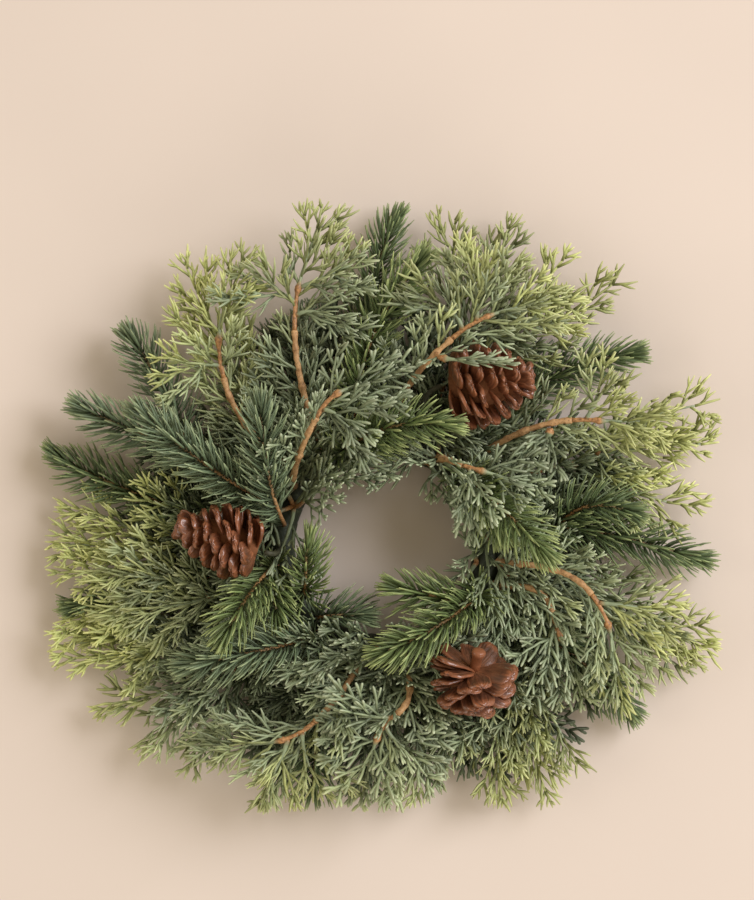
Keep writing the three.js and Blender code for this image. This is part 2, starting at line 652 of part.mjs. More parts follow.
// Grows a needle on a face of the stem, or leaves the face plain where there is no room
function growNeedle(skin, corners, station, marks, random) {
  const base = middleOf(skin, corners);
  const outward = base.clone().sub(station.at);
  outward.addScaledVector(station.along, -outward.dot(station.along)).normalize();
  const across = station.along.clone().cross(outward);
  const nearEnd = Math.max(0, (station.leafy - 0.8) / 0.2);
  const lean = between(NEEDLE_LEAN, NEEDLE_END_LEAN, nearEnd) + 0.2 * (random() - 0.5);
  const length = NEEDLE_LENGTH * (1 - 0.3 * nearEnd) * (0.85 + 0.25 * random());
  const sway = 0.3 * (random() - 0.5);
  const needleMarks = { owner: marks.owner, parent: marks.stem };
  const turns = [[0, 0], [-0.25, 0], [0, 0.35], [0, -0.35], [-0.4, 0.3], [-0.4, -0.3], [0.3, 0]];
  const ways = [1, 0.75, 0.5].flatMap((shorter) =>
    turns.map(([tilt, side]) => {
      const angle = Math.max(NEEDLE_LEAST_LEAN, lean + tilt);
      const direction = station.along.clone().multiplyScalar(Math.cos(angle));
      direction.addScaledVector(outward, Math.sin(angle)).addScaledVector(across, sway + side);
      const tip = base.clone().addScaledVector(direction.normalize(), length * shorter);
      const rods = outgrowthRods(base, tip, NEEDLE_BASE, NEEDLE_TIP, needleMarks);
      return { tip, rods };
    }),
  );
  growPoint(skin, corners, placeFirstFree(ways)?.tip);
}

// Closes a loop of corners with a point over it, or flat where there is no point
function growPoint(skin, loop, tip) {
  if (!tip) {
    for (let i = 1; i + 1 < loop.length; i++) skin.face(loop[0], loop[i], loop[i + 1]);
    return;
  }
  const point = skin.point(tip);
  loop.forEach((corner, i) => skin.face(corner, loop[(i + 1) % loop.length], point));
}

// Grows a pine stem from a root cap of its own, or from a face of another stem
function growPine(skin, stem, random, startFace) {
  const { stations, marks, forks = [] } = stem;
  let turn = 0;
  let ring = startFace ?? pineRing(skin, stations[0], turn);
  if (!startFace) skin.face(ring[0], ring[2], ring[1]);
  for (let k = 1; k < stations.length; k++) {
    const station = stations[k];
    turn = startFace && k === 1 ? turnAfter(skin, ring[0], station) : turn + Math.PI / 3 + PINE_TWIST;
    const next = pineRing(skin, station, turn);
    const faces = ring.map((corner, i) => [corner, ring[(i + 1) % 3], next[i]]);
    const fork = forks.find((one) => one.count === k);
    const forkFace = fork && nearestFace(skin, faces, fork);
    for (const face of faces) {
      if (face === forkFace) growPine(skin, fork, random, face);
      else if (station.leafy > 0 && random() > PLAIN_SHARE) growNeedle(skin, face, station, marks, random);
      else skin.face(...face);
    }
    ring.forEach((corner, i) => skin.face(ring[(i + 1) % 3], next[(i + 1) % 3], next[i]));
    ring = next;
  }
  const end = stations.at(-1);
  growPoint(skin, ring, end.at.clone().addScaledVector(end.along, NEEDLE_LENGTH / 3));
}

// The face of a band that looks most nearly along a fork
function nearestFace(skin, faces, fork) {
  const [from, to] = fork.stations;
  const direction = to.at.clone().sub(from.at);
  const reach = (face) => middleOf(skin, face).sub(from.at).dot(direction);
  return faces.reduce((best, face) => (reach(face) > reach(best) ? face : best));
}

// A cedar branch: a main stem with side fans, all set out before any leaf is placed
function cedarPlan(row, twigs) {
  const twig = twigs.find((one) => one.name === row.twig);
  const seat = twig ? seatOnTwig(twig.curve, row.side) : seatOnRing(row.root);
  const curve = stemCurve(seat, vector(row.bend), vector(row.tip));
  const main = cedarStem(row, curve, row.bare, UP, "main");
  row.fans.forEach((fan, i) => {
    const end = vector(fan.tip);
    const band = main.stations.findLastIndex((station) => station.share <= fan.share);
    const socket = socketAt(main.stations, band, end);
    const arch = SIDE_FAN_ARCH * socket.at.distanceTo(end);
    const bend = socket.at.clone().lerp(end, 0.6).addScaledVector(socket.out, arch);
    const fanCurve = stemCurve(socket, bend, end);
    const stem = cedarStem(row, fanCurve, SIDE_FAN_BARE, main.stations[band].up, `fan ${i}`);
    main.children[band][socket.side] = stem;
  });
  return { ...row, main };
}

function cedarStem(row, curve, bare, up, name) {
  const stations = stationsOn(curve, bare, CEDAR_STEP, BARE_STEP, up, TIP_TRIM);
  const marks = { owner: row.name, stem: name };
  claimStem(stations, CEDAR_RADIUS, CEDAR_END_RADIUS, marks);
  return {
    stations,
    marks,
    radius: CEDAR_RADIUS,
    endRadius: CEDAR_END_RADIUS,
    endLength: 0.7 * LEAF_LENGTH,
    children: stations.map(() => ({})),
  };
}

// The middle of a band's left or right edge, whichever looks towards a point
function socketAt(stations, band, toward) {
  const here = stations[band];
  const next = stations[band + 1];
  const middle = here.at.clone().lerp(next.at, 0.5);
  const isLeft = toward.clone().sub(middle).dot(here.left) > 0;
  const sideways = here.left.clone().multiplyScalar(isLeft ? 1 : -1);
  const out = sideways.clone().addScaledVector(here.along, SIDE_FAN_LEAN);
  out.addScaledVector(here.up, SIDE_FAN_RISE).normalize();
  return { at: middle.addScaledVector(sideways, CEDAR_RADIUS), out, side: isLeft ? "left" : "right" };
}

// Branchlets on alternate sides of a leafy stem, each with leaves on both sides
function addBranchlets(stem, width, random) {
  let side = random() < 0.5 ? "left" : "right";
  stem.stations.slice(0, -1).forEach((here, band) => {
    side = side === "left" ? "right" : "left";
    const child = stem.children[band][side];
    if (child) addBranchlets(child, width, random);
    const other = stem.children[band][side === "left" ? "right" : "left"];
    if (other) addBranchlets(other, width, random);
    if (child || here.leafy < 0) return;
    const profile = Math.min(1, 0.65 + 1.6 * here.leafy) * (1 - 0.6 * here.leafy ** 2);
    const length = width * profile * (0.85 + 0.3 * random());
    stem.children[band][side] = branchlet(stem, band, side, length, random);
  });
  addLeaves(stem, random);
}

function branchlet(stem, band, side, length, random) {
  const here = stem.stations[band];
  const next = stem.stations[band + 1];
  const sideways = here.left.clone().multiplyScalar(side === "left" ? 1 : -1);
  const from = here.at.clone().lerp(next.at, 0.5).addScaledVector(sideways, stem.endRadius);
  const lean = BRANCHLET_LEAN - 0.25 * here.leafy + 0.2 * (random() - 0.5);
  const lift = between(LEAST_LIFT, 2 * LEAST_LIFT, random());
  const parent = stem.marks.stem;
  const marks = { owner: stem.marks.owner, parent, stem: `${parent} ${band} ${side}` };
  const ways = [1, 0.75, 0.55].flatMap((shorter) =>
    [0, 0.3, 0.6, 0.9].map((more) => {
      const out = here.along.clone().multiplyScalar(Math.cos(lean));
      out.addScaledVector(sideways, Math.sin(lean)).addScaledVector(here.up, lift + more).normalize();
      const onward = out.clone().addScaledVector(here.along, 0.5).normalize();
      const middle = from.clone().addScaledVector(out, (length * shorter) / 2);
      const end = middle.clone().addScaledVector(onward, (length * shorter) / 2);
      const curve = new THREE.QuadraticBezierCurve3(from, middle, end);
      const [inner, outer] = outgrowthRods(from, end, BRANCHLET_RADIUS, BRANCHLET_RADIUS, marks);
      return { curve, rods: [inner, outer] };
    }),
  );
  const free = placeFirstFree(ways);
  if (!free) return null;
  const stations = stationsOn(free.curve, 0, BRANCHLET_STEP, BRANCHLET_STEP, here.up);
  const made = {
    stations,
    marks,
    isBranchlet: true,
    radius: BRANCHLET_RADIUS,
    endRadius: 0.85 * BRANCHLET_RADIUS,
    endLength: 0.6 * LEAF_LENGTH,
    children: stations.map(() => ({})),
  };
  addLeaves(made, random);
  return made;
}

// Leaves on every free edge of the leafy bands, apart from the band a stem starts with
function addLeaves(stem, random) {
  stem.stations.slice(0, -1).forEach((here, band) => {
    if (here.leafy < 0 || band === 0) return;
    for (const side of ["left", "right"])
      if (!stem.children[band][side]) stem.children[band][side] = leafOn(stem, band, side, random);
  });
}

function leafOn(stem, band, side, random) {
  const here = stem.stations[band];
  const next = stem.stations[band + 1];
  const sideways = here.left.clone().multiplyScalar(side === "left" ? 1 : -1);
  const from = here.at.clone().lerp(next.at, 0.5).addScaledVector(sideways, 0.5 * stem.radius);
  const length = LEAF_LENGTH * (0.85 + 0.3 * random()) * (1 - 0.2 * here.leafy);
  const lift = between(LEAST_LIFT, 2.5 * LEAST_LIFT, random());
  const marks = { owner: stem.marks.owner, parent: stem.marks.stem };
  const tries = [[0, 0], [0.25, 0], [0, 0.3], [0.25, 0.3], [0, 0.6]];
  const ways = [1, 0.75, 0.5].flatMap((shorter) =>
    tries.map(([turn, more]) => {
      const direction = here.along.clone().multiplyScalar(Math.cos(LEAF_LEAN + turn));
      direction.addScaledVector(sideways, Math.sin(LEAF_LEAN + turn));
      direction.addScaledVector(here.up, lift + more).normalize();
      const tip = from.clone().addScaledVector(direction, length * shorter);
      return { tip, rods: outgrowthRods(from, tip, LEAF_ROOM, NEEDLE_TIP, marks) };
    }),
  );
  return placeFirstFree(ways) ?? null;
}

// The left, right and keel points of a cedar stem's section, which is flat on top
function cedarRing(skin, stem, station) {
  const radius = between(stem.radius, stem.endRadius, station.share);
  const high = station.at.clone().addScaledVector(station.up, CEDAR_TOP * radius);
  return {
    left: skin.point(high.clone().addScaledVector(station.left, radius)),
    right: skin.point(high.addScaledVector(station.left, -radius)),
    keel: skin.point(station.at.clone().addScaledVector(station.up, -CEDAR_KEEL * radius)),
  };
}

// Grows a cedar stem from a socket: the left, right and keel points it starts at, and any point over them.
// A leaf or a side stem takes the two faces along an edge, and rises from the flat top.
function growCedar(skin, stem, startSocket) {
  const { owner } = skin;
  if (stem.isBranchlet) skin.owner = stem;
  let back = startSocket ?? cedarRing(skin, stem, stem.stations[0]);
  if (!startSocket) skin.face(back.right, back.left, back.keel);
  for (let k = 1; k < stem.stations.length; k++) {
    const front = cedarRing(skin, stem, stem.stations[k]);
    const { left, right } = stem.children[k - 1];
    skin.face(back.keel, back.left, front.keel);
    skin.face(back.right, back.keel, front.keel);
    if (back.over === undefined) {
      growOrClose(skin, left, { left: back.left, over: front.right, right: front.left, keel: front.keel });
      growOrClose(skin, right, { left: front.right, over: back.left, right: back.right, keel: front.keel });
    } else {
      skin.face(back.left, front.left, front.keel);
      skin.face(back.right, front.keel, front.right);
      skin.face(back.left, back.over, front.left);
      skin.face(back.over, back.right, front.right);
      skin.face(back.over, front.right, front.left);
    }
    back = front;
  }
  const end = stem.stations.at(-1);
  const tip = end.at.clone().addScaledVector(end.along, stem.endLength);
  growPoint(skin, [back.left, back.right, back.keel], tip);
  skin.owner = owner;
}

function growOrClose(skin, child, socket) {
  const { left, over, right, keel } = socket;
  if (child?.stations && !child.isLeftOut) growCedar(skin, child, socket);
  else if (child && !child.isLeftOut) {
    const { owner } = skin;
    skin.owner = child;
    growPoint(skin, [left, over, right, keel], child.tip);
    skin.owner = owner;
  } else {
    skin.face(left, over, right);
    skin.face(left, right, keel);
  }
}

// A cedar branch without the leaves and branchlets that would run through another part of it
function cedarSkin(stem) {
  const skin = new Skin();
  growCedar(skin, stem);
  const crossing = crossingGrowths(skin);
  if (crossing.size === 0) return skin;
  for (const growth of crossing) growth.isLeftOut = true;
  return cedarSkin(stem);
}

const materials = Object.fromEntries(
  Object.entries(COLOURS).map(([name, color]) => {
    const roughness = name === "cone" ? 0.3 : 0.6;
    return [name, new THREE.MeshStandardMaterial({ name, color, roughness, metalness: 0 })];
  }),
);

const wreath = new THREE.Group();

function addPiece(name, geometry, material) {
  const mesh = new THREE.Mesh(geometry, materials[material]);
  mesh.name = name;
  wreath.add(mesh);
}

// Everything that carries foliage is set out first, and the foliage then fills the room left, from the top
const twigs = TWIGS.map(twigPlan);
const cones = CONES.map(conePlan);
const pines = PINES.map(pinePlan);
const cedars = CEDARS.map((row) => cedarPlan(row, twigs));

addPiece("ring", ringGeometry(), "tape");
for (const twig of twigs) addPiece(twig.name, roundStem(twig.stations, twig.radii, TWIG_SIDES), "twig");
for (const cone of cones) {
  addPiece(cone.name, coneGeometry(cone, randomFrom(cone.radius)), "cone");
  const radii = cone.wireStations.map(() => WIRE_RADIUS);
  addPiece(`${cone.name}_wire`, roundStem(cone.wireStations, radii, TWIG_SIDES), "wire");
}

const branches = [...pines, ...cedars].sort((a, b) => b.bend[2] - a.bend[2]);
branches.forEach((branch, i) => {
  const random = randomFrom(101 + i);
  if (branch.hue.startsWith("cedar")) {
    addBranchlets(branch.main, branch.width, random);
    addPiece(branch.name, cedarSkin(branch.main).geometry(), branch.hue);
  } else {
    const skin = new Skin();
    growPine(skin, branch.main, random);
    addPiece(branch.name, skin.geometry(), branch.hue);
  }
});

// Centres the outline over the origin
const outline = new THREE.Box3().setFromObject(wreath);
wreath.position.set(-(outline.min.x + outline.max.x) / 2, -(outline.min.y + outline.max.y) / 2, 0);

const part = new THREE.Group();
part.add(wreath);
export default part;
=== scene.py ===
# The looks of a small artificial wreath that lies on its back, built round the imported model.
# The layout is in millimetres from the ring's centre, and the meshes are in metres.
import math
import random

import bpy
import numpy as np
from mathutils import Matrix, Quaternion, Vector, noise


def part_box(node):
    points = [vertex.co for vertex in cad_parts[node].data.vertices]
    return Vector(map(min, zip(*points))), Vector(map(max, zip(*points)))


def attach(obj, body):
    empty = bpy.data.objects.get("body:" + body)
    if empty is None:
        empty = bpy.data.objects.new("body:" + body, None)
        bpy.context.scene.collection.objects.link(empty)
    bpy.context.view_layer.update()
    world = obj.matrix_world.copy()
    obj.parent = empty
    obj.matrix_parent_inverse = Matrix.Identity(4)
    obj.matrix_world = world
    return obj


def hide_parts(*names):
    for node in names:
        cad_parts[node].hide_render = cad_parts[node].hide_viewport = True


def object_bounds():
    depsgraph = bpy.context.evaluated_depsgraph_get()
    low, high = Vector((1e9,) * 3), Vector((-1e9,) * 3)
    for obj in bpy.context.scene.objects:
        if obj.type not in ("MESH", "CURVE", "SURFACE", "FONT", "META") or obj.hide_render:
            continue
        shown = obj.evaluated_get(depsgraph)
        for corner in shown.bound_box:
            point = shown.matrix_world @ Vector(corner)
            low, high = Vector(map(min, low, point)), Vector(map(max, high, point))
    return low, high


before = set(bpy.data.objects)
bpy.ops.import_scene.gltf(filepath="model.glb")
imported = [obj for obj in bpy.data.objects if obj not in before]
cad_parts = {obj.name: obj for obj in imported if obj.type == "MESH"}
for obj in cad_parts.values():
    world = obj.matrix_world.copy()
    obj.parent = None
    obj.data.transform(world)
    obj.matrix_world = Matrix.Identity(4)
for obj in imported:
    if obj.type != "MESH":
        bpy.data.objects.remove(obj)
cad_low, cad_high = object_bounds()
ring_low, ring_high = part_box("ring")

MM = 0.001
UP = Vector((0, 0, 1))
RING_CENTRE = Vector(((ring_low.x + ring_high.x) / 2, (ring_low.y + ring_high.y) / 2, 0))

# The photograph's frame in pixels, the ring's centre in it, and the millimetres that a pixel covers
FRAME_WIDTH = 754
FRAME_HEIGHT = 900
RING_PIXEL = (384, 547)
MM_PER_PIXEL = 0.45
SENSOR_WIDTH = 36
CAMERA_HEIGHT = 1600
MIDDLE_HEIGHT = 30

# The ring and its tape
RING_RADIUS = 47.5
TUBE_RADIUS = 7
TUBE_HEIGHT = 6.2
TAPE_TURNS = 38
TAPE_STEP = 0.28
RING_STEPS = 340
RING_SIDES = 22

# What foliage keeps clear of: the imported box, the way through the middle, a bare stretch of the ring,
# the ring itself and the inner share of each cone
EDGE = 0.2
BOX_LOW = (cad_low - RING_CENTRE) / MM + Vector((EDGE, EDGE, 0))
BOX_HIGH = (cad_high - RING_CENTRE) / MM - Vector((EDGE, EDGE, EDGE))
HOLE = (Vector((-21, -8)), Vector((30, 19)))
BARE_RING = (Vector((-50, 2)), Vector((-36, 24)))
LOWEST = 0.8
RING_GAP = 0.2
CONE_CORE = 0.9

# Notches in the outline: the direction of each in degrees, and how far the cedar foliage reaches there.
# It reaches no further over the floor, a share of the width to each side, and by the depth more outside.
NOTCHES = (
    (9, 131), (15, 146), (31, 134), (45, 141), (67, 147), (80, 141), (112, 137), (132, 147), (172, 144),
    (190, 144), (206, 134), (216, 136), (228, 128), (240, 123), (305, 127), (316, 113), (321, 110),
    (347, 140), (351, 131),
)
NOTCH_WIDTH = 5
NOTCH_FLOOR = 0.4
NOTCH_DEPTH = 40
BEYOND_ALL = 200

# Stems, and how far short of a stem's tip its own curve ends, where needles or sprigs reach on to it
LEAD_SHARE = 0.3
STEM_STEP = 1.5
STEM_SAMPLES = 300
SEAT_GAP = 0.3
PINE_TRIM = 8
CEDAR_TRIM = 14
OVER_TIP = 5
GOLDEN_ANGLE = math.radians(137.508)
TUBE_DOME = 0.4
ROD_DOME = 0.5

# Twigs, with the place and size of each knob, and wires
TWIG_RADIUS = 1.5
TWIG_END_RADIUS = 1.15
TWIG_MOST_RADIUS = 2.6
SEAT_TWIG_RADIUS = 1.9
TWIG_KNOBS = ((0.6, 0.6), (0.27, 0.25), (0.86, 0.35), (0.985, 0.4))
TWIG_STEPS = 90
TWIG_SIDES = 12
WIRE_RADIUS = 1.2
WIRE_SIDES = 10
WIRE_TONE = (0, 0.5, 0, 0)
WIRE_PLACE = 0.25

# The seeds of the first piece of each kind
PINE_SEED = 100
CEDAR_SEED = 200
TWIG_SEED = 500
CONE_SEED = 600

# Pine needles. A section has its number of sides and how flat it is, and a profile has places along and
# widths. Curls are added to the lean at the root and at the end, and tries are shares of the length.
PINE_RADIUS = 0.95
PINE_END_RADIUS = 0.6
PINE_BARE = 0.02
NEEDLES_PER_MM = 3.1
NEEDLE_LENGTH = 18.5
NEEDLE_WIDTH = 0.54
NEEDLE_LEAN = 0.88
NEEDLE_END_LEAN = 0.4
NEEDLE_END_FROM = 0.82
NEEDLE_END_SPAN = 0.18
NEEDLE_CURL = (0.16, -0.34)
NEEDLE_STRAY = (-0.17, 0.17)
NEEDLE_SWAY = (-0.22, 0.22)
NEEDLE_TURN = (-0.3, 0.3)
NEEDLE_LENGTHS = (0.82, 1.08)
NEEDLE_WIDTHS = (0.88, 1.12)
NEEDLE_PROFILE = ((0, 0.7), (0.35, 1), (0.78, 0.9), (1, 0.4))
NEEDLE_SECTION = (4, 0.85)
NEEDLE_TRIES = (1, 0.7, 0.45)
TUFT_COUNT = 20
TUFT_LENGTH = 13
TUFT_LEAN = 0.62
TUFT_SINK = 0.8
TUFT_STRAY = (-0.06, 0.06)
TUFT_LENGTHS = (0.8, 1)
FORK_LEAN = 0.7

# Cedar stems and sprigs. A plume's end is the last share of its stem, and the prongs of a sprig stop up
# to the one ragged distance short of the outline or up to the other beyond it.
CEDAR_RADIUS = 1.1
CEDAR_END_RADIUS = 0.45
CEDAR_BARE = 0.04
BROWN_ON_TWIG = 0.44
BROWN_ON_RING = 0.3
SPRIG_STEP = 5.0
SPRIG_WIDTH = 0.66
SPRIG_LEAN = 0.66
SPRIG_BASE = 15.5
SPRIG_GAIN = 1.2
SPRIG_CURL = (0.15, -0.22)
SPRIG_PROFILE = ((0, 1.1), (0.35, 1), (0.75, 0.9), (1, 0.6))
SPRIG_SECTION = (5, 0.8)
SPRIG_TRIES = (1, 0.7, 0.45, 0.25)
END_SPRIG = 12
SPRIG_LENGTHS = (0.8, 1.15)
SPRIG_ROLL = (-0.5, 0.75)
HANGING_ROLL = (-1.0, 0.0)
LEAN_STRAY = (-0.16, 0.16)
CREST_STEP = 7
PLUME_END = 0.84
RAGGED_IN = 6
RAGGED_OUT = 3

# Prongs of two kinds: blunt and broad on the sage branches, slender and swept forward on the lime ones.
# A fork has its place along the prong and the chance that it is there.
BLUNT = dict(
    length=13, width=0.78, lean=0.66, forks=((0.45, 0.8),),
    profile=((0, 0.85), (0.5, 0.93), (0.86, 0.93), (1, 0.6)),
)
SLENDER = dict(
    length=14.5, width=0.67, lean=0.52, forks=((0.36, 0.75), (0.62, 0.3)),
    profile=((0, 0.95), (0.6, 0.95), (1, 0.42)),
)
PRONG_STEP = 4.4
PRONG_CURL = (0, -0.35)
PRONG_LIFT = (-0.2, 0.4)
PRONG_LENGTHS = (0.7, 1.15)
PRONG_WIDTHS = (0.88, 1.1)
PRONG_SECTION = (4, 0.7)
PRONG_TRIES = (1, 0.75, 0.5)
PRONG_FORK_LEAN = 0.62
PRONG_FORK_SHARE = 0.8
PRONG_FORK_ROOM = 3

# How far from the ring's centre the foliage starts to turn lime, over what distance it does, how much
# this and the shade differ from fan to fan and within one, how lime each hue gets, and the dark tone
# that foliage deep in the wreath keeps as painted shade
LIME_FROM = 86
LIME_SPAN = 55
FAN_SHIFT = (-12, 12)
SPRIG_SHIFT = (-14, 18)
FAN_SHADE = (-0.22, 0.22)
PRONG_SHADE = (-0.2, 0.2)
LIMENESS = {"pine": 0.0, "pine_blue": 0.0, "pine_bright": 0.75, "cedar": 0.35, "cedar_lime": 1.0}
PAINTED_SHADE_TONE = 0.22

# Short sprays that cover the ring, low ones under the other foliage that are painted dark as shade, and the
# side fans' stems
COVER_LENGTH = 26
COVER_LENGTHS = (0.8, 1.15)
LOW_TURN = math.radians(30)
LOW_TURNS = (0.6, 1.2)
LOW_REACH = 104
LOW_REACHES = (0.88, 1.05)
LOW_HEIGHT = 8
LOW_SPRIG_STEP = 6
SIDE_FAN_LEAN = 0.7
SIDE_FAN_RISE = 0.35
SIDE_FAN_ARCH = 0.12
SIDE_FAN_BARE = 0.06
SIDE_FAN_CREST = 0.2
HANGING_BARE = 0.1

# Pine cones. How open one is has two numbers: the lean of the first scales, and how late they close.
SCALE_COUNT = 52
SCALE_WIDTH = 5.7
SCALE_THICKNESS = 1.9
SCALE_TWIST = 0.42
SCALE_END_LEAN = 0.42
SCALE_STRAY = (-0.08, 0.08)
SCALE_SWAY = (-0.12, 0.12)
SCALE_TWISTS = (0.4, 1.4)
SCALE_REACHES = (0.96, 1.08)
SCALE_WIDTHS = (0.94, 1.06)
OPEN_CONE = (2.0, 1.4)
CLOSED_CONE = (1.52, 2.6)
SCALE_ROWS = 12
SCALE_SIDES = 24
SCALE_SPAN = (0.1, 0.86)
CORE_SPAN = (0.08, 0.9)
CORE_STEPS = 16
CORE_SIDES = 12
# The core takes the paler root colour, painted light in the shaded gaps between scales.
CORE_TONE = (0.2, 0.3, 0, 0.5)
CONE_NECK = 0.62
CONE_SWELL = 0.38
CONE_BELLY = 0.18
CONE_TAPER = 0.45
STUB_RADIUS = 2.8
STUB_LENGTH = 9
STUB_SIDES = 16
# The stub's tone is lighter than the scales of its cone, painted light that sets it off against the shaded
# scales behind it.
STUB_TONE = (0.5, 0.6, 0.45, 0.5)
STUB_PROFILE = ((-0.3, 0.95), (0.2, 0.86), (0.6, 0.86), (0.72, 1.12), (0.9, 1.16), (0.98, 0.95), (1, 0.6))


def way(root, bend, tip, hue="twig", **more):
    """A row for one stem: its root, the point that it bends over, its tip, its hue and more by name."""
    return dict(root=root, bend=bend, tip=tip, hue=hue, **more)


# The root of a stem is where it leaves the ring: the angles round the ring and up from level, in
# degrees. Names count on from 01 in each table.
TWIGS = [
    way((122, 62), (-40, 78, 40), (-40, 97, 37)),
    way((146, 80), (-38, 44, 52), (-30, 58, 55)),
    way((86, 52), (12, 78, 50), (30, 93, 52)),
    way((44, 42), (66, 56, 36), (84, 57, 39)),
    way((58, 95), (22, 42, 38), (35, 37, 44)),
    way((-8, 52), (82, -6, 36), (93, -21, 37)),
    way((-19, 45), (73, -14, 28), (76, -30, 27)),
    way((-79, 58), (15, -68, 42), (6, -74, 41)),
    way((258, 60), (-20, -68, 40), (-31, -78, 37)),
    way((140, 42), (-67, 54, 30), (-72, 76, 32)),
]

# A fork has its place along the stem, the point that it bends over and its tip
PINES = [
    way((152, 38), (-112, 50, 24), (-141, 65, 22), "pine_blue",
        forks=[(0.5, (-98, 72, 19), (-118, 99, 17))]),
    way((171, 12), (-115, 22, 12), (-154, 43, 11), "pine"),
    way((160, 72), (-84, 38, 54), (-112, 64, 47), "pine_blue"),
    way((168, 98), (-54, 22, 60), (-55, 69, 48), "pine_blue"),
    way((97, 14), (-8, 122, 13), (7, 154, 12), "pine"),
    way((104, 55), (-8, 104, 40), (20, 132, 34), "pine_bright"),
    way((52, 10), (80, 84, 13), (118, 88, 14), "pine"),
    way((117, 96), (-4, 62, 54), (34, 54, 52), "pine_bright", forks=[(0.3, (-4, 52, 36), (8, 47, 33))]),
    way((41, 88), (54, 18, 54), (75, -6, 50), "pine_bright", forks=[(0.32, (50, 16, 36), (54, 2, 32))]),
    way((10, 30), (115, 2, 17), (148, -7, 14), "pine", forks=[(0.3, (92, 24, 30), (116, 14, 29))]),
    way((-29, 10), (93, -50, 10), (115, -79, 11), "pine"),
    way((-25, 88), (26, -38, 56), (-6, -48, 48), "pine_bright",
        forks=[(0.3, (20, -20, 33), (0, -18, 30))]),
    way((212, 112), (-36, -12, 38), (-34, 8, 33), "pine_bright"),
    way((190, 78), (-62, -20, 56), (-73, -44, 48), "pine_bright",
        forks=[(0.24, (-50, -24, 33), (-46, -36, 32))]),
    way((232, 76), (-58, -46, 48), (-93, -54, 38), "pine_blue"),
    way((189, 8), (-115, -25, 10), (-146, -28, 10), "pine"),
    way((250, 12), (-34, -95, 10), (-32, -120, 11), "pine"),
    way((226, 100), (-22, -30, 30), (-5, -31, 25), "pine_blue"),
]

